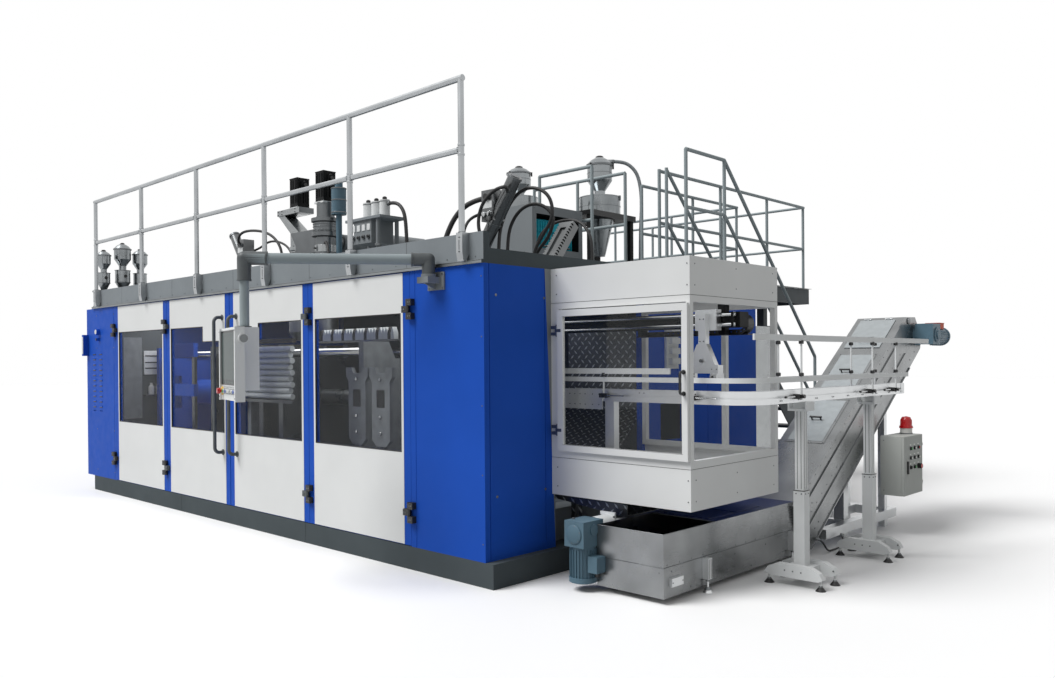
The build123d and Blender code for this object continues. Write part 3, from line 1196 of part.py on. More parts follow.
def gearmotors():
    """Drive of the scrap tray and drive of the incline conveyor."""
    rx, y = XR + 450.0, YF + 430.0
    roller = rod((rx, YF + 700, 412), (rx, YF + 1156, 412), 58)
    flange = block(rx - 65, rx + 65, YF + 684, YF + 700, 322, 502)
    neck = rod((rx, y + 100, 412), (rx, YF + 684, 412), 150)
    box = block(rx - 92, rx + 78, y - 100, y + 110, 306, 482)
    motor = upright(rx - 10, y, 70, 306, 172)
    fan = upright(rx - 10, y, 54, 70, 150)
    terminal = block(rx + 70, rx + 150, y - 50, y + 34, 140, 250)
    stay = block(rx + 60, TRAY_X0 - SEAT, YF + 684, YF + 700, 322, 440)
    tray_drive = joined([roller, flange, neck, box, motor, fan, terminal, stay])
    x = RISE_X1 + SEAT
    cy, cz = RISE_HEAD
    flange_2 = rod((x, cy, cz), (x + 24, cy, cz), 200)
    box_2 = block(x + 24, x + 190, cy - 100, cy + 100, cz - 90, cz + 110)
    motor_2 = rod((x + 110, cy + 100, cz - 10), (x + 110, cy + 330, cz - 10), 170)
    fan_2 = rod((x + 110, cy + 330, cz - 10), (x + 110, cy + 350, cz - 10), 150)
    shaft_cap = rod((x + 190, cy, cz), (x + 214, cy, cz), 90)
    lid = block(x + 40, x + 170, cy + 130, cy + 260, cz + 60, cz + 120)
    rise_drive = joined([flange_2, box_2, motor_2, fan_2, shaft_cap, lid])
    return grouped([tray_drive, rise_drive])


RISE_FOOT_Y = YF + 2493.0
RISE_FOOT_Z = 67.0
RISE_HEAD_Y = YF + 4860.0
RISE_HEAD = (YF + 4760.0, 1790.0)


def rise_point(along, up):
    """Point in Y and Z on the incline, from the foot of its underside."""
    c, s = cos(radians(RISE_SLOPE)), sin(radians(RISE_SLOPE))
    return (RISE_FOOT_Y + along * c - up * s, RISE_FOOT_Z + along * s + up * c)


RISE_LENGTH = 2850.0


def incline_conveyor():
    """Stainless casing of the rising conveyor with its lids' openings."""
    deep = RISE_DEEP
    outline = [rise_point(-100, 0), rise_point(RISE_LENGTH, 0), rise_point(RISE_LENGTH + 90, 90),
               rise_point(RISE_LENGTH + 60, deep * 0.7), rise_point(RISE_LENGTH - 160, deep),
               rise_point(-60, deep), rise_point(-100, deep - 120)]
    casing = extrude_yz(outline, RISE_X0, RISE_X1)
    w = RISE_WALL
    hollow = [rise_point(-60, w), rise_point(RISE_LENGTH - 20, w), rise_point(RISE_LENGTH - 20, deep * 0.6),
              rise_point(RISE_LENGTH - 200, deep - w), rise_point(-40, deep - w)]
    casing -= extrude_yz(hollow, RISE_X0 + w, RISE_X1 - w)
    for a0, a1 in RISE_OPENINGS:
        cut = [rise_point(a0, deep - 3 * w), rise_point(a1, deep - 3 * w), rise_point(a1, deep + w), rise_point(a0, deep + w)]
        casing -= extrude_yz(cut, RISE_X0 + 70, RISE_X1 - 90)
    for up in (150.0, 330.0):
        end = RISE_LENGTH - 360
        rib = [rise_point(-20, up), rise_point(end, up), rise_point(end, up + 36), rise_point(-20, up + 36)]
        casing += extrude_yz(rib, RISE_X1, RISE_X1 + 10)
    pin_along = lid_pin_along()
    for x in lid_hinge_xs():
        casing += lid_bar(x - 36, x + 36, LID_PIN_D)
        for x0 in (x - 36, x + 14):
            casing += lid_bar(x0, x0 + 22, LID_BARREL_D)
            casing += lid_lug(x0, x0 + 22, pin_along - 5, pin_along + 5, deep - 4, LID_PIN_UP)
    return casing


RISE_OPENINGS = ((RISE_LENGTH - 670.0, RISE_LENGTH - 230.0),)
LID_PIN_D = 8.0
LID_BARREL_D = 14.0
LID_PIN_UP = RISE_DEEP + 8.0


def lid_pin_along():
    """Distance of the lid's hinge axis up the incline."""
    return RISE_OPENINGS[0][1] + 30.0


def lid_bar(x0, x1, dia):
    """Round bar on the lid's hinge axis."""
    y, z = rise_point(lid_pin_along(), LID_PIN_UP)
    return rod((x0, y, z), (x1, y, z), dia)


def lid_lug(x0, x1, along0, along1, up0, up1):
    outline = [rise_point(along0, up0), rise_point(along1, up0), rise_point(along1, up1), rise_point(along0, up1)]
    return extrude_yz(outline, x0, x1)


def lid_hinge_xs():
    """Middle of each of the lid's two hinges."""
    return (RISE_X0 + 120.0, RISE_X1 - 140.0)


def incline_lid():
    """Hinged inspection lid with its pull, near the top of the incline."""
    a0, a1 = RISE_OPENINGS[0]
    up = RISE_DEEP + 0.4
    lid = [rise_point(a0 - 20, up), rise_point(a1 + 20, up), rise_point(a1 + 20, up + 6), rise_point(a0 - 20, up + 6)]
    cover = extrude_yz(lid, RISE_X0 + 50, RISE_X1 - 70)
    x = (RISE_X0 + RISE_X1) / 2
    grip = []
    for s in (-60, 60):
        grip.append(rod((x + s, *rise_point(a0 + 90, up + 6)), (x + s, *rise_point(a0 + 90, up + 40)), 14))
    grip.append(rod((x - 78, *rise_point(a0 + 90, up + 40)), (x + 78, *rise_point(a0 + 90, up + 40)), 18))
    lid = joined([cover] + grip)
    for x in lid_hinge_xs():
        knuckle = lid_bar(x - 13, x + 13, LID_BARREL_D)
        knuckle += lid_lug(x - 13, x + 13, a1 + 10, lid_pin_along(), up + 1, up + 7)
        lid += knuckle - lid_bar(x - 14, x + 14, LID_PIN_D + 2 * PIN_PLAY)
    return lid


def incline_frame():
    """Profile frame on the floor that carries the incline and the control box."""
    z0, z1 = 75.0, 155.0
    y0, y1 = YF + 2760.0, YF + 4250.0
    pieces = [block(XR + 1010, XR + 1090, y0, y1, z0, z1), block(RISE_X0 + 10, RISE_X0 + 90, y0, y1, z0, z1),
              block(RISE_X0 + 90, XR + 1010, y1 - 80, y1, z0, z1),
              block(RISE_X0 + 90, XR + 1010, y0 + 500, y0 + 580, z0, z1)]
    _, z_low = rise_point(0, 0)
    slope = sin(radians(RISE_SLOPE)) / cos(radians(RISE_SLOPE))
    for x in (XR + 910, RISE_X0 + 20):
        y = YF + 3300.0
        top = z_low + (y - RISE_FOOT_Y) * slope
        pieces.append(extrude_yz([(y, 0), (y + 90, 0), (y + 90, top + 90 * slope - 1), (y, top - 1)], x, x + 90))
    for x in (XR + 1010, RISE_X0 + 20):
        y = YF + 4020.0
        top = z_low + (y - RISE_FOOT_Y) * slope
        pieces.append(extrude_yz([(y, 0), (y + 60, 0), (y + 60, top + 60 * slope - 1), (y, top - 1)], x, x + 60))
    arm = block(XR + 1070, BOX_X0, YF + 4020, YF + 4080, 640, 700)
    arm_2 = block(XR + 1070, BOX_X0, YF + 4020, YF + 4080, 420, 480)
    return joined(pieces + [arm, arm_2])


def control_box():
    t = 6.0
    shell = block(BOX_X0 + SEAT, BOX_X1 - 22, BOX_Y0, BOX_Y1, BOX_Z0, BOX_Z1)
    shell -= block(BOX_X0 + t, BOX_X1 - 22, BOX_Y0 + t, BOX_Y1 - t, BOX_Z0 + t, BOX_Z1 - t)
    x, y = (BOX_X0 + BOX_X1) / 2 - 20, BOX_Y0 + 380
    stem = upright(x, y, BOX_Z1, BOX_Z1 + 60, 104)
    pieces = [shell, stem]
    for z in BOX_HINGE_ZS:
        pieces.append(upright(BOX_PIN_X, BOX_PIN_Y, z - 32, z + 32, 6))
        for shift in (-22, 22):
            pieces.append(upright(BOX_PIN_X, BOX_PIN_Y, z + shift - 10, z + shift + 10, 14))
            pieces.append(block(BOX_PIN_X - 50, BOX_PIN_X - 3, BOX_Y1, BOX_Y1 + 4, z + shift - 10, z + shift + 10))
    return grouped([joined(pieces), beacon(x, y)])


def beacon(x, y):
    """Domed light on its stem."""
    profile = [(0, 0), (58, 0), (58, 12), (50, 14), (46, 70), (36, 92), (0, 100)]
    face = Plane.XZ * make_face(Polyline(*profile, close=True))
    return Pos(x, y, BOX_Z1 + 60 + SEAT) * revolve(face, axis=Axis.Z)


def control_box_door():
    x0 = BOX_X1 - 21.0
    door = block(x0, BOX_X1, BOX_Y0 + 1, BOX_Y1 - 1, BOX_Z0 + 1, BOX_Z1 - 1)
    door -= block(x0, BOX_X1 - 4, BOX_Y0 + 20, BOX_Y1 - 20, BOX_Z0 + 20, BOX_Z1 - 20)
    for row in range(3):
        for column in range(3):
            y = BOX_Y0 + 150 + column * 90
            z = BOX_Z1 - 110 - row * 84
            dia, out = (46, 34) if (row, column) == (2, 2) else (30, 16)
            door += rod((BOX_X1, y, z), (BOX_X1 + out, y, z), dia)
    door += block(BOX_X1, BOX_X1 + 14, BOX_Y0 + 70, BOX_Y0 + 90, BOX_Z0 + 190, BOX_Z0 + 300)
    for z in BOX_HINGE_ZS:
        door += upright(BOX_PIN_X, BOX_PIN_Y, z - 11, z + 11, 14)
        door += block(BOX_PIN_X, BOX_X1, BOX_Y1 - 1, BOX_PIN_Y + 4, z - 11, z + 11)
        door -= upright(BOX_PIN_X, BOX_PIN_Y, z - 12, z + 12, 6.1)
    return door


# Clamp stations
def clamp_bed():
    pieces = []
    x0, x1 = XL + 720.0, END_X - 150.0
    for side in (-1, 1):
        y = CLAMP_Y + side * BED_SPREAD
        pieces.append(block(x0, x1, y - 110, y + 110, BASE_H, BED_RAIL_Z - BED_RAIL_H))
        pieces.append(block(x0, x1, y - BED_RAIL_W / 2, y + BED_RAIL_W / 2, BED_RAIL_Z - BED_RAIL_H, BED_RAIL_Z))
    for x in (x0, (x0 + x1) / 2 - 100, x1 - 200):
        pieces.append(block(x, x + 200, CLAMP_Y - BED_SPREAD, CLAMP_Y + BED_SPREAD, BASE_H, 420))
    return joined(pieces + scrap_funnel())


def scrap_funnel():
    """Sloping and upright tread plates behind the picker, on two legs from the bed."""
    x0, x1 = END_X - 880.0, END_X - 62.0
    low_y, low_z = YF + 1350.0, 640.0
    top_y, top_z = YF + 1900.0, 1150.0
    t = FUNNEL_T
    slope = [(low_y, low_z), (top_y, top_z), (top_y + t, top_z), (top_y + t, top_z - t), (low_y + t, low_z - t)]
    pieces = [extrude_yz(slope, x0, x1), block(x0, x1, top_y, top_y + t, top_z - t, FUNNEL_TOP),
              block(x0, x1, top_y, top_y + 40, FUNNEL_TOP - t, FUNNEL_TOP)]
    grade = (top_z - low_z) / (top_y - low_y)
    y = CLAMP_Y + BED_SPREAD + BED_RAIL_W / 2 + 8
    for x in (x0 + 40, END_X - 300.0):
        z_a = low_z + (y - low_y) * grade - 2
        z_b = z_a + 50 * grade
        pieces.append(extrude_yz([(y, BED_RAIL_Z - BED_RAIL_H), (y + 50, BED_RAIL_Z - BED_RAIL_H), (y + 50, z_b),
                                  (y, z_a)], x, x + 60))
    return pieces


def carriage(mould_x, way):
    """Clamp carriage on four shoes; way is -1 when its closing cylinder is on the left."""
    outer = mould_x + way * CARRIAGE_OUT
    inner = mould_x - way * CARRIAGE_IN
    x0, x1 = min(outer, inner), max(outer, inner)
    half = TIE_SPREAD + 90.0
    pieces = [block(x0, x1, CLAMP_Y - half, CLAMP_Y + half, CARRIAGE_Z, CARRIAGE_Z + CARRIAGE_T)]
    mid_z = (TIE_ZS[0] + TIE_ZS[1]) / 2
    for x in (x0, x1 - END_PLATE_T):
        outline = [(CLAMP_Y - half, CARRIAGE_Z + CARRIAGE_T), (CLAMP_Y + half, CARRIAGE_Z + CARRIAGE_T),
                   (CLAMP_Y + half, PLATE_TOP), (CLAMP_Y + 240, PLATE_TOP), (CLAMP_Y + 170, PLATE_TOP - 150),
                   (CLAMP_Y - 170, PLATE_TOP - 150), (CLAMP_Y - 240, PLATE_TOP), (CLAMP_Y - half, PLATE_TOP)]
        plate = extrude_yz(outline, x, x + END_PLATE_T)
        for side in (-1, 1):
            y = CLAMP_Y + side * 300.0
            plate -= block(x, x + END_PLATE_T, y - 60, y + 60, mid_z - 200, mid_z + 200)
        pieces.append(plate)
    for z in TIE_ZS:
        for side in (-1, 1):
            y = CLAMP_Y + side * TIE_SPREAD
            pieces.append(rod((x0 + 10, y, z), (x1 - 10, y, z), TIE_D))
    barrel_a = (outer - way * END_PLATE_T, CLAMP_Y, mid_z)
    barrel_b = (outer - way * (END_PLATE_T + 620), CLAMP_Y, mid_z)
    pieces.append(pipe(barrel_a, barrel_b, 300, 161))
    shoes = []
    for side in (-1, 1):
        y = CLAMP_Y + side * BED_SPREAD
        for x in (x0 + 60, x1 - 360):
            shoe = block(x, x + 300, y - 65, y + 65, BED_RAIL_Z - 40, CARRIAGE_Z)
            shoes.append(shoe - block(x, x + 300, y - BED_RAIL_W / 2 - SEAT, y + BED_RAIL_W / 2 + SEAT,
                                      BED_RAIL_Z - 40, BED_RAIL_Z + SEAT))
    return grouped([joined(pieces)] + shoes)


def platen(mould_x, side):
    """Platen with its mould half; side is -1 on the left of the parting plane."""
    face = mould_x + side * MOULD_GAP
    back = face + side * MOULD_T
    rear = back + side * PLATEN_T
    x0, x1 = min(face, back), max(face, back)
    p0, p1 = min(back, rear), max(back, rear)
    half = TIE_SPREAD + 80.0
    plate = block(p0, p1, CLAMP_Y - half, CLAMP_Y + half, CARRIAGE_Z + CARRIAGE_T + 1, PLATE_TOP - 4)
    plate -= block(p0, p1, CLAMP_Y - 260, CLAMP_Y + 260, PLATE_TOP - 140, PLATE_TOP - 4)
    mould = block(x0, x1, CLAMP_Y - 300, CLAMP_Y + 300, 820, 1600)
    whole = joined([plate, mould])
    for z in TIE_ZS:
        for s in (-1, 1):
            y = CLAMP_Y + s * TIE_SPREAD
            whole -= rod((p0 - 1, y, z), (p1 + 1, y, z), TIE_D + 2 * TIE_PLAY)
    return whole


def driven_platen(mould_x, way):
    """Outer platen with the ram that runs in the carriage's cylinder."""
    body = platen(mould_x, way)
    mid_z = (TIE_ZS[0] + TIE_ZS[1]) / 2
    start = mould_x + way * (MOULD_GAP + MOULD_T + PLATEN_T)
    end = mould_x + way * (CARRIAGE_OUT - END_PLATE_T - 300.0)
    return joined([body, rod((start, CLAMP_Y, mid_z), (end, CLAMP_Y, mid_z), 160)])


# Hoses on the roof
def bend_radii(points):
    """Largest tangent arc at each corner that both runs leave room for."""
    radii = []
    for a, b, c in zip(points, points[1:], points[2:]):
        run_in, run_out = Vector(*b) - Vector(*a), Vector(*c) - Vector(*b)
        turn = radians(run_in.get_angle(run_out))
        radii.append(0.45 * min(run_in.length, run_out.length) / (sin(turn / 2) / cos(turn / 2)))
    return radii


def hose(points, dia):
    radii = bend_radii(points)
    print("hose", dia, [round(r) for r in radii])
    return bent_bar(points, dia, radii)


def hose_path(start, steps):
    """Corner points from a start point and the step to each next one."""
    points = [start]
    for step in steps:
        last = points[-1]
        points.append((last[0] + step[0], last[1] + step[1], last[2] + step[2]))
    return points


LOADER_HOSE_D = 42.0
LOADER_HOSE_STEPS = ((94, 90, 0), (83, 79, -61), (60, 58, -124), (28, 27, -277), (-5, -35, -449), (0, 0, -436))
HYDRAULIC_HOSE_D = 46.0
HYDRAULIC_HOSE_STEPS = ((2, 1, 189), (48, 21, 220), (95, 40, 190), (140, 58, 110), (170, 22, 8))
HEAD_HOSE_D = 34.0
HEAD_HOSE_STEPS = ((110, 0, 0), (95, 0, -55), (55, 0, -95), (19, 0, -213), (3, 5, -206), (-4, 0, -210))


def main_loader_hose():
    start = outlet_point(146.0)
    steps = list(LOADER_HOSE_STEPS)
    return hose(hose_path(start, steps), LOADER_HOSE_D)


def hydraulic_hose():
    start = (XR - 1750.0, YF + 1050.0, DECK_Z + SEAT)
    return hose(hose_path(start, HYDRAULIC_HOSE_STEPS), HYDRAULIC_HOSE_D)


def head_hose():
    start = (XR - 2389.0, HEAD_Y, 3070.0)
    return hose(hose_path(start, HEAD_HOSE_STEPS), HEAD_HOSE_D)


NODES = {
    "base_plinth": base_plinth, "left_cabinet": left_cabinet, "right_end_panel": right_end_panel,
    "rear_enclosure": rear_enclosure, "roof_deck": roof_deck, "fixed_hinges": fixed_hinges,
    "door_1_hinges": door_1_hinges, "door_2_handle": door_2_handle, "door_3_handle": door_3_handle,
    "door_4_hinges": door_4_hinges, "front_guard_rail": front_guard_rail, "walkway_stair": walkway_stair,
    "rear_guard_rail": rear_guard_rail, "extruder_housing": extruder_housing, "extruder_screw": extruder_screw,
    "power_unit": power_unit, "pump_motor": pump_motor, "hoppers": hoppers,
    "vacuum_loaders": vacuum_loaders, "die_head": die_head,
    "servo_motors": servo_motors, "tilt_cylinders": tilt_cylinders, "arm_bracket": arm_bracket,
    "pendant_arm": pendant_arm, "hmi_panel": hmi_panel, "emergency_stop": emergency_stop,
    "cage_frame": cage_frame, "cage_door": cage_door, "cage_pane": cage_pane, "takeout_beam": takeout_beam,
    "takeout_carriage": takeout_carriage, "transfer_conveyor": transfer_conveyor, "guide_rails": guide_rails,
    "conveyor_stands": conveyor_stands, "scrap_tray": scrap_tray,
    "gearmotors": gearmotors, "incline_conveyor": incline_conveyor, "incline_lid": incline_lid,
    "incline_frame": incline_frame, "control_box": control_box,
    "control_box_door": control_box_door, "clamp_bed": clamp_bed, "main_loader_hose": main_loader_hose,
    "hydraulic_hose": hydraulic_hose, "head_hose": head_hose,
}


def build_all():
    shapes = {name: make() for name, make in NODES.items()}
    for number in range(1, 5):
        shapes[f"door_{number}_leaf"] = door_leaf(number)
        shapes[f"door_{number}_pane"] = door_pane(number)
    shapes["left_carriage"] = carriage(MOULD_HOME[0], -1)
    shapes["right_carriage"] = carriage(MOULD_HOME[1], 1)
    shapes["left_platen_outer"] = driven_platen(MOULD_HOME[0], -1)
    shapes["left_platen_inner"] = platen(MOULD_HOME[0], 1)
    shapes["right_platen_outer"] = driven_platen(MOULD_HOME[1], 1)
    shapes["right_platen_inner"] = platen(MOULD_HOME[1], -1)
    return shapes


os.makedirs("parts", exist_ok=True)
for node, shape in build_all().items():
    export_step(shape, f"parts/{node}.step")
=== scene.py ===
from itertools import product
from math import cos, hypot, pi, radians, sin, tau

import bmesh
import bpy
from bpy.props import FloatProperty, FloatVectorProperty, PointerProperty
from mathutils import Matrix, Vector


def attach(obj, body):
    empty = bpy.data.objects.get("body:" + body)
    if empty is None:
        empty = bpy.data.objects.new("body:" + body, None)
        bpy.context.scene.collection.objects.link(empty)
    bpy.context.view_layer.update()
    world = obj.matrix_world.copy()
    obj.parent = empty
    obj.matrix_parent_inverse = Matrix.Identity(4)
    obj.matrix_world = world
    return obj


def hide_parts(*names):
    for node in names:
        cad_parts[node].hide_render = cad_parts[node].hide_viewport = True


bl_info = {
    "name": "Blow moulding machine dressing",
    "version": (1, 0, 0),
    "blender": (4, 5, 0),
    "location": "View3D > Sidebar > Moulding",
    "description": "Surfaces, fittings, hoses, lights and camera for the moulding machine",
    "category": "Object",
}

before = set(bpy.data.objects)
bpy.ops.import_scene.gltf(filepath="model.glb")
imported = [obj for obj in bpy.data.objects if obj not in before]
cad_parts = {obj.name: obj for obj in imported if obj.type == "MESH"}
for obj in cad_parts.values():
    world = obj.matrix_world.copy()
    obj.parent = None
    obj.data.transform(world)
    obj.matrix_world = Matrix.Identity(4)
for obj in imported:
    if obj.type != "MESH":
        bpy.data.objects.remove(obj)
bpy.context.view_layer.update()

# Origins in millimetres: the row's own, and the front right bottom corner that some pieces are measured from
ROW = (0.0, 0.0, 0.0)
CORNER = (3580.0, -1900.0, 0.0)
# Ways that faces look
FRONT = (0, -1, 0)
RIGHT = (1, 0, 0)
UP = (0, 0, 1)
# Doors and their windows
LEAF_PITCH = 1396.0
LAST_SEAM = -885.0
HANDLE_OFF = 140.0
WINDOW_Z = (885, 1935)
WINDOW_NOTCH = (440, 1784)
WINDOW_INSET = 112.5
MEET_INSET = 2.5
LIP = 4
# Roof
POST_X = [3328.0 - i * 1338.0 for i in range(6)]
RAIL_Y = -1940.0
HEAD_X = (-352.0, 142.0)
HEAD_Y = -950.0
HOPPERS = ((1180, 2250), (80, 1980))
# Swing arm and operator panel, whose face stands out from the axis that it turns on
ARM_PIVOT = (3006.0, -1975.0)
ARM_DIR = radians(231.8)
ARM_LENGTH = 1288.0
PANEL_TURN = radians(-16.0)
PANEL_FACE = 110
KEY_US = range(-137, 200, 46)
KEY_Z = 1373
STOP_U = -203
# Outfeed and scrap line
STAND_YS = (-315.0, 835.0)
STAND_X = 5040.0
CLAMP_YS = (-466.0, 719.0, 1182.0)
TRAY_SIDE = 4655
RISE_FOOT = (593.0, 67.0)
RISE_SLOPE = radians(34.0)
RISE_SIDE = 4679.5
LAMP_XY = (4853, 2112)
# Stage; the camera's place is measured from the corner
FLOOR_SIZE = 120.0
KEY_WAY = (0.3, 0.53, -0.79)
CAMERA_PLACE = (4323, -4167, 1580)
CAMERA_TURN = (radians(43.9127), radians(-0.283), radians(0.4255))
CAMERA_LENS = 29.957
CAMERA_SHIFT = (0.00265, 0.0235)


def metres(point, origin=ROW):
    """Row frame position in metres of a point in millimetres."""
    return Vector([(a + b) / 1000.0 for a, b in zip(point, origin)])


def grid(xs, ys, zs):
    """Every combination of the values along the axes; a single number stands for itself."""
    return product(*[values if hasattr(values, "__iter__") else (values,) for values in (xs, ys, zs)])


def linear(code):
    """Linear colour from an sRGB hex code; a colour property is linear already."""
    if not isinstance(code, str):
        return (*code, 1.0)
    parts = [int(code[i:i + 2], 16) / 255.0 for i in (1, 3, 5)]
    return tuple([c / 12.92 if c <= 0.04045 else ((c + 0.055) / 1.055) ** 2.4 for c in parts] + [1.0])


MATERIALS = {}


# Node trees
def node(tree, kind, inputs=None, **settings):
    """Adds one node with its settings; an input is a value or the socket that feeds it."""
    made = tree.nodes.new(kind)
    for key, value in settings.items():
        setattr(made, key, value)
    for key, value in (inputs or {}).items():
        if isinstance(value, bpy.types.NodeSocket):
            tree.links.new(value, made.inputs[key])
        else:
            made.inputs[key].default_value = value
    return made


def start_material(name, color, roughness, metallic, **sockets):
    """Adds a material with its uniform values on the shader; returns tree, shader and position in metres."""
    material = bpy.data.materials.new(name)
    MATERIALS[name] = material
    material.use_nodes = True
    material.diffuse_color = color
    tree = material.node_tree
    shader = tree.nodes["Principled BSDF"]
    shader.inputs["Base Color"].default_value = color
    shader.inputs["Roughness"].default_value = roughness
    shader.inputs["Metallic"].default_value = metallic
    for key, value in sockets.items():
        shader.inputs[key.replace("_", " ")].default_value = value
    place = node(tree, "ShaderNodeTexCoord").outputs["Object"]
    return tree, shader, place


def drift_color(tree, place, color, amount, patch_mm):
    """Base colour that drifts darker and lighter from patch to patch."""
    patches = node(tree, "ShaderNodeTexNoise", {"Vector": place, "Scale": 1000.0 / patch_mm, "Detail": 2.0})
    share = node(tree, "ShaderNodeMapRange", {"Value": patches.outputs["Fac"], "From Min": 0.3, "From Max": 0.7})
    dark = tuple([c * (1.0 - amount) for c in color[:3]] + [1.0])
    light = tuple([min(1.0, c * (1.0 + amount)) for c in color[:3]] + [1.0])
    mixed = node(tree, "ShaderNodeMix", {"Factor": share.outputs["Result"], "A": dark, "B": light},
                 data_type="RGBA")
    return mixed.outputs["Result"]


def sprayed(name, code, roughness=0.4, drift=0.04, peel_mm=9.0, gloss=0.1):
    """Sprayed and baked enamel: even colour, faint orange peel and wiped patches of gloss."""
    color = linear(code)
    tree, shader, place = start_material(name, color, roughness, 0.0, Specular_IOR_Level=gloss)
    tree.links.new(drift_color(tree, place, color, drift, 420.0), shader.inputs["Base Color"])
    wiped = node(tree, "ShaderNodeTexNoise", {"Vector": place, "Scale": 11.0, "Detail": 5.0})
    rough = node(tree, "ShaderNodeMapRange", {"Value": wiped.outputs["Fac"], "From Min": 0.3, "From Max": 0.7,
                                              "To Min": roughness - 0.06, "To Max": roughness + 0.08})
    tree.links.new(rough.outputs["Result"], shader.inputs["Roughness"])
    # Real peel is about 2 mm wide; it is drawn 9 mm wide so that it still shows in a render of the whole machine
    peel = node(tree, "ShaderNodeTexNoise", {"Vector": place, "Scale": 1000.0 / peel_mm, "Detail": 2.0})
    relief = node(tree, "ShaderNodeBump", {"Height": peel.outputs["Fac"], "Strength": 0.3, "Distance": 0.0001})
    tree.links.new(relief.outputs["Normal"], shader.inputs["Normal"])


def ground(name, code, roughness=0.32, along=0, grain_mm=3.0, drift=0.08, cloud=0.12):
    """Ground or brushed metal: fine streaks along one axis and cloudy patches from rolling."""
    color = linear(code)
    tree, shader, place = start_material(name, color, roughness, 1.0)
    tree.links.new(drift_color(tree, place, color, drift, 260.0), shader.inputs["Base Color"])
    stretch = [1.0, 1.0, 1.0]
    stretch[along] = 0.02
    # Real grinding lines are about 0.2 mm apart; they are drawn 3 mm apart so that they show
    lines = node(tree, "ShaderNodeMapping", {"Vector": place, "Scale": stretch})
    streak = node(tree, "ShaderNodeTexNoise", {"Vector": lines.outputs["Vector"], "Scale": 1000.0 / grain_mm,
                                               "Detail": 3.0})
    clouds = node(tree, "ShaderNodeTexNoise", {"Vector": place, "Scale": 3.2, "Detail": 2.0})
    blend = node(tree, "ShaderNodeMath", {0: streak.outputs["Fac"], 1: 0.3, 2: clouds.outputs["Fac"]},
                 operation="MULTIPLY_ADD")
    rough = node(tree, "ShaderNodeMapRange", {"Value": blend.outputs["Value"], "From Min": 0.45, "From Max": 0.85,
                                              "To Min": max(0.05, roughness - cloud), "To Max": roughness + cloud})
    tree.links.new(rough.outputs["Result"], shader.inputs["Roughness"])
    relief = node(tree, "ShaderNodeBump", {"Height": streak.outputs["Fac"], "Strength": 0.1, "Distance": 0.0001})
    tree.links.new(relief.outputs["Normal"], shader.inputs["Normal"])


def cast_skin(name, code, roughness=0.6, metallic=0.0):
    """Sand casting under thin paint: dull, with a gritty skin and dirt in the hollows."""
    color = linear(code)
    tree, shader, place = start_material(name, color, roughness, metallic)
    tree.links.new(drift_color(tree, place, color, 0.16, 70.0), shader.inputs["Base Color"])
    # Foundry sand is about 0.5 mm; the grit is drawn 6 mm wide so that it shows
    grit = node(tree, "ShaderNodeTexNoise", {"Vector": place, "Scale": 160.0, "Detail": 5.0})
    relief = node(tree, "ShaderNodeBump", {"Height": grit.outputs["Fac"], "Strength": 0.5, "Distance": 0.0006})
    tree.links.new(relief.outputs["Normal"], shader.inputs["Normal"])


def moulded(name, code, roughness=0.4, grain_mm=5.0, **sockets):
    """Moulded plastic or rubber: one colour, a soft grain and a slightly uneven gloss."""
    color = linear(code)
    tree, shader, place = start_material(name, color, roughness, 0.0, **sockets)
    tree.links.new(drift_color(tree, place, color, 0.06, 60.0), shader.inputs["Base Color"])
    grain = node(tree, "ShaderNodeTexNoise", {"Vector": place, "Scale": 1000.0 / grain_mm, "Detail": 3.0})
    rough = node(tree, "ShaderNodeMapRange", {"Value": grain.outputs["Fac"], "From Min": 0.3, "From Max": 0.7,
                                              "To Min": max(0.03, roughness - 0.05), "To Max": roughness + 0.07})
    tree.links.new(rough.outputs["Result"], shader.inputs["Roughness"])
    relief = node(tree, "ShaderNodeBump", {"Height": grain.outputs["Fac"], "Strength": 0.3, "Distance": 0.0001})
    tree.links.new(relief.outputs["Normal"], shader.inputs["Normal"])


def clear_sheet(name, code, cover):
    """Smoked polycarbonate: straight-through with a thin mirror on each face and hair scratches in its gloss."""
    tree, shader, place = start_material(name, linear(code), 0.04, 0.0, Alpha=cover, IOR=1.585)
    lines = node(tree, "ShaderNodeMapping", {"Vector": place, "Scale": (0.04, 1.0, 1.0)})
    hairs = node(tree, "ShaderNodeTexNoise", {"Vector": lines.outputs["Vector"], "Scale": 500.0, "Detail": 4.0})
    rough = node(tree, "ShaderNodeMapRange", {"Value": hairs.outputs["Fac"], "From Min": 0.3, "From Max": 0.7,
                                              "To Min": 0.01, "To Max": 0.08})
    tree.links.new(rough.outputs["Result"], shader.inputs["Roughness"])


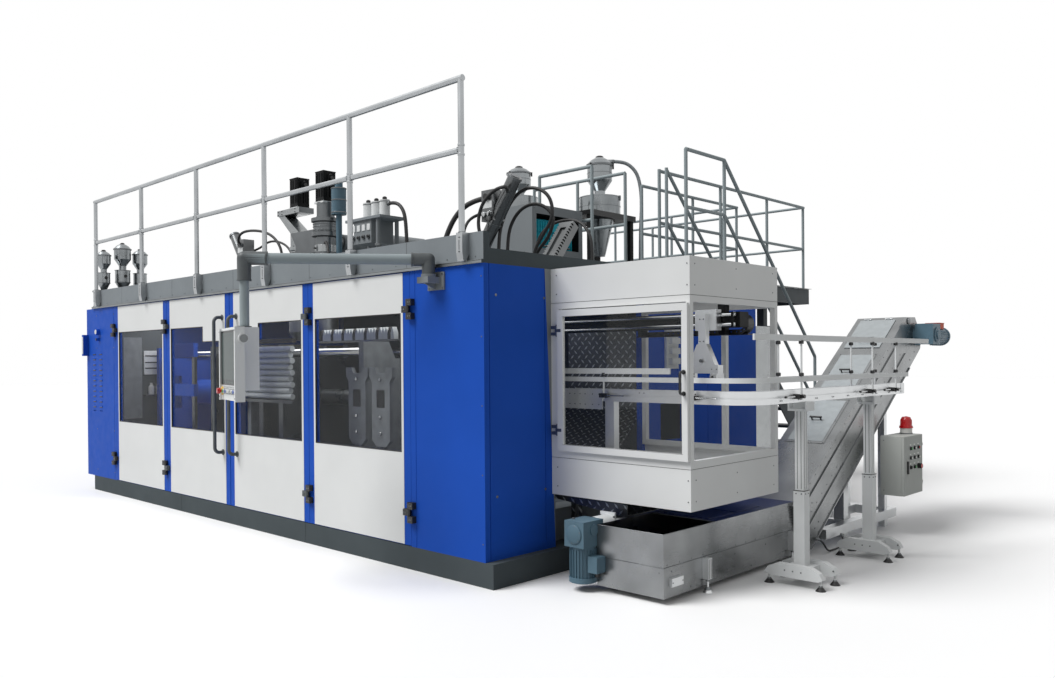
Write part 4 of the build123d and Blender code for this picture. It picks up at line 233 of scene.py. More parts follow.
def checker_plate(name, code, pitch_mm=58.0):
    """Rolled aluminium tread plate: raised lozenges in two crossed directions on a dull ground."""
    color = linear(code)
    tree, shader, place = start_material(name, color, 0.34, 1.0)
    flat = node(tree, "ShaderNodeSeparateXYZ", {"Vector": place})
    climb = node(tree, "ShaderNodeMath", {0: flat.outputs["Y"], 1: flat.outputs["Z"]}, operation="ADD")
    # Real lozenges stand about 28 mm apart; they are drawn 58 mm apart so that they show through the door
    sheet = node(tree, "ShaderNodeCombineXYZ", {"X": flat.outputs["X"], "Y": climb.outputs["Value"]})
    turned = node(tree, "ShaderNodeMapping", {"Vector": sheet.outputs["Vector"], "Scale": [1000.0 / pitch_mm] * 3,
                                              "Rotation": (0.0, 0.0, radians(45.0))})
    grid_place = node(tree, "ShaderNodeSeparateXYZ", {"Vector": turned.outputs["Vector"]})
    off, cells = [], []
    for axis in ("X", "Y"):
        value = grid_place.outputs[axis]
        off.append(node(tree, "ShaderNodeMath", {0: value, 1: 0.5}, operation="PINGPONG").outputs["Value"])
        cells.append(node(tree, "ShaderNodeMath", {0: value}, operation="ROUND").outputs["Value"])
    total = node(tree, "ShaderNodeMath", {0: cells[0], 1: cells[1]}, operation="ADD")
    odd = node(tree, "ShaderNodeMath", {0: total.outputs["Value"], 1: 1.0}, operation="PINGPONG").outputs["Value"]
    # Every second lozenge lies across its neighbours
    along = node(tree, "ShaderNodeMix", {"Factor": odd, "A": off[0], "B": off[1]}, data_type="FLOAT")
    across = node(tree, "ShaderNodeMix", {"Factor": odd, "A": off[1], "B": off[0]}, data_type="FLOAT")
    reach = node(tree, "ShaderNodeMath", {0: across.outputs["Result"], 1: 3.2, 2: along.outputs["Result"]},
                 operation="MULTIPLY_ADD")
    raised = node(tree, "ShaderNodeMapRange", {"Value": reach.outputs["Value"], "From Min": 0.4, "From Max": 0.5,
                                               "To Min": 1.0, "To Max": 0.0}).outputs["Result"]
    dark = tuple([c * 0.25 for c in color[:3]] + [1.0])
    worn = node(tree, "ShaderNodeMix", {"Factor": raised, "A": dark, "B": color}, data_type="RGBA")
    tree.links.new(worn.outputs["Result"], shader.inputs["Base Color"])
    relief = node(tree, "ShaderNodeBump", {"Height": raised, "Strength": 1.0, "Distance": 0.002})
    tree.links.new(relief.outputs["Normal"], shader.inputs["Normal"])


def make_materials(look):
    """Every finish of the machine, by name."""
    # Baked enamel on sheet steel: deep even blue with a soft sheen
    sprayed("blue_enamel", look.shell_color, 0.42, gloss=0.05)
    # The same enamel in white, a little glossier, so that large doors stay plain
    sprayed("white_enamel", look.door_color, 0.34, 0.02)
    # Cooler white-grey of the cage sheets and profiles
    sprayed("cage_enamel", "#e3e4e3", 0.4, 0.02)
    # Slate grey enamel of the roof edge: matt enough to show no lamp
    sprayed("slate_enamel", "#868c90", 0.5, 0.05)
    # Folded lip under the roof edge, lighter because it is bare zinc plate
    ground("zinc_lip", "#85898b", 0.4, 0, cloud=0.08)
    # Plinth enamel: dark slate with shoe dust
    sprayed("plinth_enamel", "#51585b", 0.62, 0.08, gloss=0.03)
    # Mid grey machine enamel on frames and housings
    sprayed("grey_enamel", "#84898c", 0.45)
    # Blue-grey enamel of the swing arm's tube
    sprayed("arm_enamel", "#98a2a5", 0.42, 0.03)
    # Light grey enamel of stands and boxes
    sprayed("light_grey_enamel", "#e4e6e6", 0.42, 0.03)
    # Control box enamel: warm grey with a fine texture
    sprayed("box_enamel", "#b2b5b1", 0.5, 0.03)
    # Dark grey enamel of the gallery beams
    sprayed("gallery_enamel", "#585d60", 0.5, 0.06)
    # Teal motor enamel: bright against the dark housing
    sprayed("teal_enamel", "#2cabbd", 0.35)
    # Black enamel on small steelwork: a soft sheen on its edges
    sprayed("black_enamel", "#1a1b1c", 0.42)
    # Blue-grey gear housing enamel, shinier from oil
    sprayed("gear_enamel", "#55707f", 0.42, 0.08, gloss=0.3)
    # Orange terminal box enamel: the one warm spot of the incline's drive
    sprayed("orange_enamel", "#c64a26", 0.4)
    # Hinge enamel of the cage: dark blue-grey
    sprayed("hinge_enamel", "#454e66", 0.4)
    # Elbow castings of the swing arm: dark grey and dull
    cast_skin("elbow_casting", "#4b5052", 0.5)
    # Grey castings of gearbox and barrel supports, gritty
    cast_skin("grey_casting", "#7f8487")
    # Rough black coating of hinges and handles
    cast_skin("black_coating", "#19191b", 0.5)
    # Satin stainless tube of the front rail, ground along the tube
    ground("satin_tube", "#a9acae", 0.38, 2, cloud=0.08)
    # Brushed stainless sheet of tray and incline, with long soft streaks along Y
    ground("stainless_y", "#8b8d8e", 0.29, 1, drift=0.14, cloud=0.07)
    # Brushed stainless sheet of upright covers, brighter, with streaks along Z
    ground("stainless_z", "#9a9d9e", 0.28, 2)
    # Darker stainless of the drum and loaders seen against the sky
    ground("stainless_drum", "#8d9193", 0.26, 2, cloud=0.16)
    # Milled steel plates with cutter marks
    ground("milled_steel", "#6d7072", 0.38, 0, 5.0, 0.14)
    # Bright drawn bar of rods and tie bars
    ground("drawn_steel", "#b9bbbc", 0.16, 0, 2.0, 0.03, 0.05)
    # Anodised aluminium extrusion: pale and even
    ground("anodised_aluminium", "#cfd1d2", 0.4, 1, 2.0, 0.03, 0.05)
    # Rolled aluminium tread plate: bright worn lozenges on a dark ground
    checker_plate("tread_plate", "#a9adb0")
    # Chromed cylinder barrels, darker because the roof mirrors in them
    ground("barrel_steel", "#6c6e6f", 0.3, 2, 2.0, 0.1)
    # Milky film and covers hung in front of the clamps
    moulded("milky_film", "#c3c8c8", 0.3, 16.0)
    # Nitrile rubber of gaskets, pads and hoses: black and dull
    moulded("black_rubber", "#141415", 0.55)
    # Ribbed vinyl suction hose, pale and half matt
    moulded("grey_vinyl", "#8f9598", 0.45)
    # Blue belt of the scrap line, woven and slightly shiny
    moulded("blue_belt", "#1d2f66", 0.38, 8.0)
    # Injection moulded black plastic of knobs, clamps and chain links, glossier than the rubber
    moulded("black_plastic", "#121314", 0.36)
    # Tempered front glass of the screen, black behind
    moulded("screen_glass", "#0b1114", 0.08, Specular_IOR_Level=0.05)
    # Lit display area: grey-green and dark
    moulded("display", "#3b4a48", 0.14, Specular_IOR_Level=0.05)
    # Polycarbonate lens of beacon and stop button: deep red and glossy
    moulded("red_plastic", "#bf1219", 0.22)
    # ABS collar of the stop button: warm yellow, half matt
    moulded("yellow_plastic", "#e0b312", 0.34)
    # Lens of the start buttons: clear green with a gloss
    moulded("green_plastic", "#1f9a3f", 0.28)
    # Lens of the setting buttons and pins of the chain: bright blue
    moulded("blue_plastic", "#1c54b8", 0.28)
    # ABS of button plates, lamp base and containers: off-white
    moulded("white_plastic", "#dcdcd8", 0.32)
    # Frosted acrylic windows of the incline: milky grey with a soft gloss
    moulded("frosted_acrylic", "#a0a6a8", 0.2)
    # Guard windows: lightly smoked sheet, so that what stands behind keeps its contrast
    clear_sheet("clear_polycarbonate", "#23282a", 0.17)


# Solids of each finish; the windows are clear and all others blue
CAD_FINISH = {
    "plinth_enamel": ("base_plinth",),
    "slate_enamel": ("roof_deck",),
    "black_coating": ("fixed_hinges", "door_1_hinges", "door_4_hinges"),
    "elbow_casting": ("door_2_handle", "door_3_handle", "pendant_arm"),
    "satin_tube": ("front_guard_rail",),
    "gallery_enamel": ("walkway_stair",),
    "arm_enamel": ("rear_guard_rail",),
    "grey_casting": ("extruder_housing", "right_carriage"),
    "drawn_steel": ("extruder_screw",),
    "grey_enamel": ("power_unit", "arm_bracket", "clamp_bed"),
    "teal_enamel": ("pump_motor",),
    "stainless_drum": ("hoppers", "vacuum_loaders"),
    "milled_steel": ("die_head", "left_platen_outer", "left_platen_inner", "right_platen_outer",
                     "right_platen_inner"),
    "black_enamel": ("servo_motors", "takeout_beam"),
    "barrel_steel": ("tilt_cylinders",),
    "light_grey_enamel": ("hmi_panel", "guide_rails", "conveyor_stands"),
    "red_plastic": ("emergency_stop",),
    "cage_enamel": ("cage_frame", "cage_door"),
    "anodised_aluminium": ("takeout_carriage", "transfer_conveyor", "incline_frame"),
    "stainless_y": ("scrap_tray", "incline_conveyor"),
    "gear_enamel": ("gearmotors",),
    "frosted_acrylic": ("incline_lid",),
    "box_enamel": ("control_box", "control_box_door"),
    "grey_vinyl": ("main_loader_hose",),
    "black_rubber": ("hydraulic_hose", "head_hose"),
}
SOLID_FINISH = {name: finish for finish, names in CAD_FINISH.items() for name in names}


def rise_up(c):
    """Height in metres of a point above the incline's underside."""
    return -(c.y - RISE_FOOT[0] / 1000) * sin(RISE_SLOPE) + (c.z - RISE_FOOT[1] / 1000) * cos(RISE_SLOPE)


def on_tie_bar(c):
    """Whether a point in metres lies on one of the four tie bars."""
    return min(abs(c.z - 0.76), abs(c.z - 1.66)) < 0.045 and abs(abs(c.y + 0.95) - 0.43) < 0.045


# Faces of a solid whose middle, in metres, passes the test take the other finish; a later line wins
ZONES = {
    "door_leaf": [("white_enamel", lambda c: c.y < -1.9012)],
    "left_cabinet": [("gallery_enamel", lambda c: c.x > -2.95 and c.y > -1.88)],
    "right_end_panel": [("grey_enamel", lambda c: c.y > -1.223)],
    "rear_enclosure": [("gallery_enamel", lambda c: abs(c.x) < 3.3 and c.y < 1.8 and c.z < 2.2),
                       ("stainless_z", lambda c: c.x > 3.3025 and 1.8204 < c.y < 2.1984),
                       # Faces just behind the stainless column: black as painted shade, standing for the shaded side
                       # of the rounded column
                       ("black_enamel", lambda c: c.x > 3.34 and c.y > 2.1984),
                       ("light_grey_enamel", lambda c: c.x > 3.5032 and c.y < 0.5)],
    "roof_deck": [("zinc_lip", lambda c: c.z < 2.2749 and c.y < -1.85),
                  ("plinth_enamel", lambda c: c.x > 3.5025)],
    "clamp_bed": [("tread_plate", lambda c: c.x > 2.6 and c.z > 0.57)],
    "hoppers": [("black_enamel", lambda c: c.z < 3.3025 and c.x > 0.7),
                ("stainless_drum", lambda c: hypot(c.x - 1.18, c.y - 2.25) < 0.181)],
    "vacuum_loaders": [("gallery_enamel", lambda c: c.x < -3.2 and c.z < 2.4905)],
    "servo_motors": [("gear_enamel", lambda c: 0.3 < c.x < 0.46)],
    "die_head": [("stainless_z", lambda c: c.x < -0.23 and c.z > 2.68), ("grey_enamel", lambda c: c.x > 0.6),
                 ("light_grey_enamel", lambda c: c.x > 0.6 and c.z > 2.945),
                 ("slate_enamel", lambda c: c.x > 0.6 and 2.92 < c.z < 2.945)],
    "pendant_arm": [("arm_enamel", lambda c: 2.302 < c.x < 2.938 or 1.83 < c.z < 2.156)],
    "cage_frame": [("hinge_enamel", lambda c: c.y < -1.2102)],
    "cage_door": [("hinge_enamel", lambda c: c.x < 3.5815 or (c.x < 3.63 and c.y < -1.2362)),
                  ("black_coating", lambda c: c.x > 4.6 and c.y < -1.2362)],
    "takeout_beam": [("drawn_steel", lambda c: -0.55 < c.y < -0.51),
                     ("black_plastic", lambda c: -0.377 < c.y < -0.289)],
    "conveyor_stands": [("black_rubber", lambda c: c.z < 0.0275)],
    "guide_rails": [("black_plastic", lambda c: 1.3015 < c.z < 1.3285)],
    "scrap_tray": [("tread_plate", lambda c: c.x < 4.1095 and c.z > 0.3),
                   ("blue_belt", lambda c: c.z > 0.4535 and c.y > -0.7995 and c.x > 4.1),
                   ("anodised_aluminium", lambda c: c.z < 0.24 and (c.x > 4.6555 or c.x < 4.1095))],
    "gearmotors": [("light_grey_enamel", lambda c: -1.3602 < c.y < -0.7),
                   ("orange_enamel", lambda c: c.z > 1.866 and c.y > 2.985)],
    "incline_lid": [("black_plastic", lambda c: rise_up(c) > 0.4785 and c.y < 2.5)],
    "control_box": [("white_plastic", lambda c: c.z > 0.8785), ("red_plastic", lambda c: c.z > 0.938)],
    "control_box_door": [("black_plastic", lambda c: c.x > 4.9765)],
    # Inner faces of the power unit's housing: black as painted shade of its dark inside
    "power_unit": [("black_enamel", lambda c: 1.475 < c.x < 2.0795 and 0.155 < c.y < 0.795 and 2.66 < c.z < 3.01)],
    "left_carriage": [("drawn_steel", on_tie_bar)],
    "right_carriage": [("drawn_steel", on_tie_bar)],
}


def finish_solid(name, made):
    """Gives one solid its finish, and other finishes to the faces of its zones."""
    base = SOLID_FINISH.get(name, "clear_polycarbonate" if name.endswith("_pane") else "blue_enamel")
    zones = ZONES.get("door_leaf" if name.endswith("_leaf") else name, [])
    mesh = made.data
    mesh.materials.clear()
    for finish in [base] + [finish for finish, _ in zones]:
        mesh.materials.append(MATERIALS[finish])
    for polygon in mesh.polygons:
        hits = [i for i, (_, test) in enumerate(zones, 1) if test(polygon.center)]
        polygon.material_index = hits[-1] if hits else 0
    if base == "clear_polycarbonate":
        made.visible_shadow = False


# Mesh building
def cap(radius, wall, top, height, foot=0):
    """Profile of a turned cap: its wall, then a chamfer to the smaller top."""
    return [(0.1, foot), (radius, foot), (radius, wall), (top, height), (0.1, height)]


def louvre(made, x, y, z, width, deep, slot):
    """Pressed louvre hood on a face that looks to the front."""
    made.prism([(0, 0), (0, 14), (-deep, 2)], lambda u, v, k: (x + width * k, y + u, z + v), slot)


class Shape:
    """Collects the solids of one piece, in millimetres from an origin."""

    def __init__(self, *finishes, origin=ROW):
        self.bm = bmesh.new()
        self.finishes = finishes
        self.origin = origin

    def at(self, point):
        """Row frame position in metres of a point of the piece."""
        return metres(point, self.origin)

    def paint(self, verts, slot):
        """Puts the faces round these corners into a material slot."""
        for face in {f for v in verts for f in v.link_faces}:
            face.material_index = slot

    def box(self, lo, hi, slot=0):
        """Box between two corners."""
        a, b = self.at(lo), self.at(hi)
        verts = bmesh.ops.create_cube(self.bm, size=1.0)["verts"]
        for v in verts:
            v.co = Vector([(v.co[i] + 0.5) * (b[i] - a[i]) + a[i] for i in range(3)])
        self.paint(verts, slot)

    def bar(self, start, end, dia, slot=0, dia_end=None, sides=20):
        """Round bar or cone between two points."""
        a, b = self.at(start), self.at(end)
        place = Matrix.Translation((a + b) / 2) @ (b - a).to_track_quat("Z", "Y").to_matrix().to_4x4()
        verts = bmesh.ops.create_cone(self.bm, cap_ends=True, segments=sides, radius1=dia / 2000.0,
                                      radius2=(dia if dia_end is None else dia_end) / 2000.0,
                                      depth=(b - a).length, matrix=place)["verts"]
        self.paint(verts, slot)

    def lathe(self, centre, profile, slot=0, sides=36, axis=UP):
        """Solid of revolution; the profile lists (radius, height) in millimetres and closes on itself."""
        c = self.at(centre)
        turn = Vector(axis).to_track_quat("Z", "Y").to_matrix()
        rows = []
        for i in range(sides):
            a = tau * i / sides
            rows.append([self.bm.verts.new(c + turn @ Vector((r * cos(a), r * sin(a), h)) / 1000.0)
                         for r, h in profile])
        for i in range(sides):
            following = rows[(i + 1) % sides]
            for j in range(len(profile)):
                k = (j + 1) % len(profile)
                face = self.bm.faces.new((rows[i][j], following[j], following[k], rows[i][k]))
                face.material_index = slot

    def band(self, centre, inner, outer, height, slot=0, axis=UP, sides=36):
        """Flat ring round an axis; diameters in millimetres."""
        profile = [(inner / 2, 0), (outer / 2, 0), (outer / 2, height), (inner / 2, height)]
        self.lathe(centre, profile, slot, sides, axis)

    def bolts(self, centre, axis, circle, count, head, high, slot=0, start=0.0):
        """Hexagon heads on a circle round an axis."""
        turn = Vector(axis).to_track_quat("Z", "Y").to_matrix()
        for i in range(count):
            a = start + tau * i / count
            foot = Vector(centre) + turn @ Vector((circle / 2 * cos(a), circle / 2 * sin(a), 0.0))
            self.bar(foot, foot + turn @ Vector((0.0, 0.0, high)), head, slot, sides=6)

    def studs(self, feet, way, high, dia, slot=0, sides=12):
        """Round or hexagon heads that stand on a face looking along way."""
        for foot in feet:
            self.bar(foot, Vector(foot) + Vector(way) * high, dia, slot, sides=sides)

    def caps(self, feet, profile, slot=0, sides=36, axis=UP):
        """The same turned piece at several places."""
        for foot in feet:
            self.lathe(foot, profile, slot, sides, axis)

    def boxes(self, corners, size, slot=0):
        """Boxes of one size, each from its lowest corner."""
        for corner in corners:
            self.box(corner, Vector(corner) + Vector(size), slot)

    def prism(self, outline, place, slot=0):
        """Prism over an outline; place maps (u, v, w) to millimetres, w being 0 or 1."""
        low = [self.bm.verts.new(self.at(place(u, v, 0))) for u, v in outline]
        high = [self.bm.verts.new(self.at(place(u, v, 1))) for u, v in outline]
        faces = [self.bm.faces.new(list(reversed(low))), self.bm.faces.new(high)]
        for i in range(len(outline)):
            j = (i + 1) % len(outline)
            faces.append(self.bm.faces.new((low[i], low[j], high[j], high[i])))
        for face in faces:
            face.material_index = slot

    def done(self, name, body, bevel_mm=1.5):
        """Makes the object, bevels its edges and sets the body that it rides on."""
        bmesh.ops.recalc_face_normals(self.bm, faces=self.bm.faces)
        mesh = bpy.data.meshes.new(name)
        self.bm.to_mesh(mesh)
        self.bm.free()
        for finish in self.finishes:
            mesh.materials.append(MATERIALS[finish])
        for polygon in mesh.polygons:
            polygon.use_smooth = True
        mesh.set_sharp_from_angle(angle=radians(32))
        made = bpy.data.objects.new(name, mesh)
        bpy.context.scene.collection.objects.link(made)
        if bevel_mm:
            edge = made.modifiers.new("edges", "BEVEL")
            edge.width = bevel_mm / 1000.0
            edge.segments = 2
            edge.limit_method = "ANGLE"
            edge.angle_limit = radians(40)
        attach(made, body)
        return made


# Hoses: finish, diameter, stiffness, length and control points in metres. The first three follow the routes of their
# solids; the others have none
ROUTES = {
    "main_loader_hose": ("grey_vinyl", 0.042, "medium", 1.566, [
        (1.28512, 2.35074, 3.97), (1.37912, 2.44074, 3.97), (1.46212, 2.51974, 3.909),
        (1.52212, 2.57774, 3.785), (1.55012, 2.60474, 3.508), (1.54512, 2.56974, 3.059),
        (1.54512, 2.56974, 2.623)]),
    "hydraulic_hose": ("black_rubber", 0.046, "stiff", 0.978, [
        (1.83, -0.85, 2.2903), (1.832, -0.849, 2.4793), (1.88, -0.828, 2.6993), (1.975, -0.788, 2.8893),
        (2.115, -0.73, 2.9993), (2.285, -0.708, 3.0073)]),
    "head_hose": ("black_rubber", 0.034, "stiff", 0.952, [
        (1.191, -0.95, 3.07), (1.301, -0.95, 3.07), (1.396, -0.95, 3.015), (1.451, -0.95, 2.92),
        (1.47, -0.95, 2.707), (1.473, -0.945, 2.501), (1.469, -0.945, 2.291)]),
    "valve_hose_1": ("black_rubber", 0.03, "stiff", 1.908, [
        (2.362, -0.64, 2.2903), (2.366, -0.64, 2.571), (2.4, -0.64, 2.78), (2.536, -0.62, 3.0),
        (2.718, -0.6, 3.07), (2.905, -0.56, 2.985), (2.93, -0.53, 2.79), (2.78, -0.51, 2.65), (2.65, -0.5, 2.5),
        (2.64, -0.5, 2.2903)]),
    "valve_hose_2": ("black_rubber", 0.03, "stiff", 1.664, [
        (2.37, -0.54, 2.2903), (2.376, -0.54, 2.576), (2.415, -0.54, 2.78), (2.559, -0.53, 2.92),
        (2.741, -0.5, 2.935), (2.88, -0.46, 2.81), (2.793, -0.44, 2.64), (2.64, -0.42, 2.54),
        (2.56, -0.41, 2.44), (2.55, -0.41, 2.2903)]),
    "valve_hose_3": ("black_rubber", 0.03, "stiff", 1.055, [
        (2.392, -0.83, 2.2903), (2.39, -0.83, 2.56), (2.31, -0.84, 2.74), (2.37, -0.85, 2.92),
        (2.53, -0.86, 3.02), (2.66, -0.85, 3.04), (2.64, -0.8, 3.03), (2.6, -0.748, 3.02)]),
    "valve_hose_4": ("black_rubber", 0.026, "stiff", 0.697, [
        (2.29, -0.768, 2.86), (2.25, -0.86, 2.83), (2.26, -0.96, 2.7), (2.33, -1.01, 2.56), (2.38, -1.01, 2.42),
        (2.385, -1.01, 2.2903)]),
    "valve_hose_5": ("black_rubber", 0.026, "stiff", 1.424, [
        (2.5, -0.33, 2.2903), (2.504, -0.33, 2.54), (2.61, -0.33, 2.73), (2.825, -0.34, 2.79),
        (3.07, -0.36, 2.76), (3.2, -0.37, 2.62), (3.215, -0.37, 2.46), (3.215, -0.37, 2.2903)]),
    "valve_hose_6": ("black_rubber", 0.03, "stiff", 1.728, [
        (-1.93, -0.768, 2.99), (-1.925, -0.84, 3.01), (-1.78, -0.86, 3.14), (-1.223, -0.85, 3.08),
        (-0.93, -0.84, 2.9), (-0.88, -0.84, 2.65), (-0.87, -0.84, 2.47), (-0.87, -0.84, 2.2903)]),
    "valve_hose_7": ("black_rubber", 0.026, "stiff", 1.49, [
        (-1.95, -0.632, 2.93), (-1.93, -0.56, 2.95), (-1.664, -0.54, 3.05), (-1.25, -0.56, 2.95),
        (-1.04, -0.6, 2.74), (-1.0, -0.6, 2.5), (-1.0, -0.6, 2.2903)]),
    "valve_hose_8": ("black_rubber", 0.026, "stiff", 0.689, [
        (0.204, -1.0, 2.78), (0.3, -1.06, 2.8), (0.42, -1.11, 2.72), (0.47, -1.13, 2.56), (0.475, -1.13, 2.2903)]),
    "floor_cable": ("black_rubber", 0.014, "medium", 0.543, [
        (4.688, 0.64, 0.12), (4.735, 0.65, 0.11), (4.745, 0.72, 0.012), (4.745, 0.85, 0.009),
        (4.745, 0.96, 0.012), (4.735, 1.05, 0.06), (4.7, 1.079, 0.095)]),
}


def route_curve(name, points, diameter, finish):
    """Smooth tube through the control points of a route."""
    curve = bpy.data.curves.new(name, "CURVE")
    curve.dimensions = "3D"
    curve.resolution_u = 24
    curve.bevel_depth = 1.0
    curve.bevel_resolution = 6
    curve.use_fill_caps = True
    spline = curve.splines.new("NURBS")
    spline.points.add(len(points) - 1)
    for slot, point in zip(spline.points, points):
        slot.co = (*point, 1.0)
        slot.radius = diameter / 2
    spline.order_u = 3
    spline.use_endpoint_u = True
    curve.materials.append(MATERIALS[finish])
    made = bpy.data.objects.new(name, curve)
    bpy.context.scene.collection.objects.link(made)
    return made


def line_points(made, spacing):
    """Evenly spaced points and directions along a route's own line, in metres."""
    depth = made.data.bevel_depth
    made.data.bevel_depth = 0.0
    bpy.context.view_layer.update()
    mesh = bpy.data.meshes.new_from_object(made)
    made.data.bevel_depth = depth
    line = [v.co.copy() for v in mesh.vertices]
    bpy.data.meshes.remove(mesh)
    found, run = [], spacing / 2
    for a, b in zip(line, line[1:]):
        step = (b - a).length
        while step > 0 and run <= step:
            found.append((a.lerp(b, run / step), (b - a).normalized()))
            run += spacing
        run -= step
    return found


def hoses():
    """The hoses of the roof and the cable on the floor, with their ribs and end fittings."""
    for name, (finish, diameter, stiffness, length, points) in ROUTES.items():
        made = route_curve(name + "_line", points, diameter, finish)
        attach(made, "machine")
        dress = Shape(finish, "milled_steel")
        # In millimetres
        radius = diameter * 1000 / 2
        if finish == "grey_vinyl":
            rib = [(radius - 1, -3.4), (radius + 1.6, -1.6), (radius + 1.6, 1.6), (radius - 1, 3.4)]
            for place, way in line_points(made, 0.015):
                dress.lathe(place * 1000, rib, 0, 18, way)
        sleeve = [(radius - 2, 0), (radius + 4, 0), (radius + 4, 26), (radius + 2, 34), (radius - 2, 34)]
        for end, following in (points[:2], points[:-3:-1]):
            way = (Vector(following) - Vector(end)).normalized()
            dress.lathe(Vector(end) * 1000, sleeve, 1, 24, way)
        fittings = dress.done(name + "_fittings", "machine", 0.0)
        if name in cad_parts:
            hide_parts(name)


# Pieces of the front
def seam_x(number):
    """Place of a door seam from the corner; seam 1 is at the left cabinet and seam 5 at the end panel."""
    return LAST_SEAM - (5 - number) * LEAF_PITCH


def door_gaskets():
    """Dark rubber lips round the door windows, one piece for each leaf."""
    low, high = WINDOW_Z
    wide, shoulder = WINDOW_NOTCH
    for number in range(1, 5):
        left = seam_x(number)
        x0, x1 = left + WINDOW_INSET, left + LEAF_PITCH - WINDOW_INSET
        path = [(x0, low), (x1, low), (x1, high), (x0, high)]
        if number == 2:
            x1 -= MEET_INSET
            path = [(x0, low), (x1, low), (x1, shoulder), (x1 - wide, shoulder), (x1 - wide, high), (x0, high)]
        if number == 3:
            x0 += MEET_INSET
            path = [(x0, low), (x1, low), (x1, high), (x0 + wide, high), (x0 + wide, shoulder), (x0, shoulder)]
        made = Shape("black_rubber", origin=CORNER)
        for (xa, za), (xb, zb) in zip(path, path[1:] + path[:1]):
            made.box((min(xa, xb) - LIP, -5, min(za, zb) - LIP), (max(xa, xb) + LIP, 9, max(za, zb) + LIP))
        made.done(f"door_{number}_gasket", f"door_{number}", 1.0)


def hinge_screws():
    """Socket screws on the hinge leaves; two rows on the carrying leaf and one on the other."""
    for number, bodies in ((1, ("machine", "door_1")), (2, ("door_1", "door_2")), (4, ("door_4", "door_3")),
                           (5, ("machine", "door_4"))):
        for role, (body, shifts) in enumerate(zip(bodies, ((-52, 52), (0,)))):
            side = 1 if (number > 2) == (role == 0) else -1
            made = Shape("milled_steel", origin=CORNER)
            made.studs([(seam_x(number) + side * dx, -39, z + shift) for z in (436, 1964) for shift in shifts
                        for dx in (24, 44)], FRONT, 3.5, 11)
            made.done(f"hinge_{number}_screws_{role}", body, 0.8)


def handle_feet():
    """Pads where the two long door handles meet the leaves."""
    for number, x in ((2, seam_x(3) - HANDLE_OFF), (3, seam_x(3) + HANDLE_OFF)):
        made = Shape("elbow_casting", origin=CORNER)
        made.caps(grid(x, -3, (690, 2015)), cap(29, 5, 22, 9), 0, 28, FRONT)
        made.done(f"door_{number}_handle_feet", f"door_{number}", 0.8)


def cabinet_fittings():
    """Louvre hoods, lamp, knob, paper holder and edge screws of the left cabinet."""
    made = Shape("blue_enamel", "black_plastic", "white_plastic", "milled_steel", origin=CORNER)
    for x, y, z in grid((-7178, -6978), 0, range(1036, 1700, 65)):
        louvre(made, x, y, z, 90, 9, 0)
        # Black strip under each hood: painted shade of the slot opening
        made.box((x + 4, -3.4, z - 12), (x + 86, -0.2, z), 1)
    lamp = [(0.1, 44), (27, 44), (31, 40), (31, 0), (38, 0), (38, -1), (0.1, -1)]
    made.lathe((-6980, 0, 1958), lamp, 2, 32, FRONT)
    made.bar((-6980, -34, 1866), (-6980, -40, 1866), 30, 1)
    made.box((-7370, -66, 1690), (-7334, -61, 1905), 2)
    made.studs(grid((-7050, -6520), 0.5, (260, 760, 1760, 2160)), FRONT, 3.5, 13, 3)
    made.done("cabinet_fittings", "machine", 0.6)


def end_fittings():
    """Screws at the corners of the blue end face and the folded seam on the front."""
    made = Shape("milled_steel", "blue_enamel", origin=CORNER)
    made.caps(grid(-77, (117, 615), (620, 2033)), cap(10, 2.5, 7, 4, -1), 0, 20, RIGHT)
    made.studs(grid(-100, 0.5, (300, 780, 1260, 1740, 2160)), FRONT, 3, 10)
    made.box((-826, -2.0, 186), (-822, 0.2, 2244), 1)
    made.done("end_fittings", "machine", 0.5)


def rail_fittings():
    """Tees, socket bolts and end caps of the front guard rail."""
    made = Shape("satin_tube", "black_plastic", "milled_steel")
    for x in POST_X:
        for way in (-1, 1):
            if (x, way) not in ((POST_X[0], 1), (POST_X[-1], -1)):
                made.band((x + way * 26 - 7, RAIL_Y, 3050), 41, 51, 14, 0, RIGHT, 24)
        for z in (3010, 3076):
            made.band((x, RAIL_Y, z), 43, 51, 14, 0, UP, 24)
        made.box((x - 5, -1961.5, 2350), (x + 5, -1959.5, 2416), 1)
        made.band((x, RAIL_Y, 2466), 43, 54, 10, 2, UP, 24)
    made.studs(grid(POST_X, -1965.5, (2336, 2436)), FRONT, 5.5, 13, 2, 6)
    made.done("rail_fittings", "machine", 0.8)


def roof_edge_fittings():
    """Butt seams and screws along the roof edge, and a black line above the lip that is a painted shadow line."""
    made = Shape("black_plastic", "milled_steel")
    made.boxes([(x - 1.5, -1900.6, 2278) for x in range(-2692, 2700, 1338)], (3, 1.6, 190), 0)
    # Black line along the lip: painted shadow line
    made.box((-3560, -1920.8, 2268), (3500, -1919.4, 2271), 0)
    made.studs(grid(range(-3430, 3500, 298), -1899.5, 2300), FRONT, 3.5, 9, 1, 10)
    made.done("roof_edge_fittings", "machine", 0.0)


# Operator panel
def arm_at(along, off, z):
    """Position in millimetres of a point on the swing arm, along it from its pivot and off to its side."""
    c, s = cos(ARM_DIR), sin(ARM_DIR)
    return (ARM_PIVOT[0] + along * c + off * s, ARM_PIVOT[1] + along * s - off * c, z)


def panel_at(u, v, w):
    """Position in millimetres of a point on the operator panel: u to the right, v outwards, w up."""
    c, s = cos(PANEL_TURN), sin(PANEL_TURN)
    x0, y0, _ = arm_at(ARM_LENGTH, 0, 0)
    return (x0 + u * c + v * s, y0 + u * s - v * c, w)


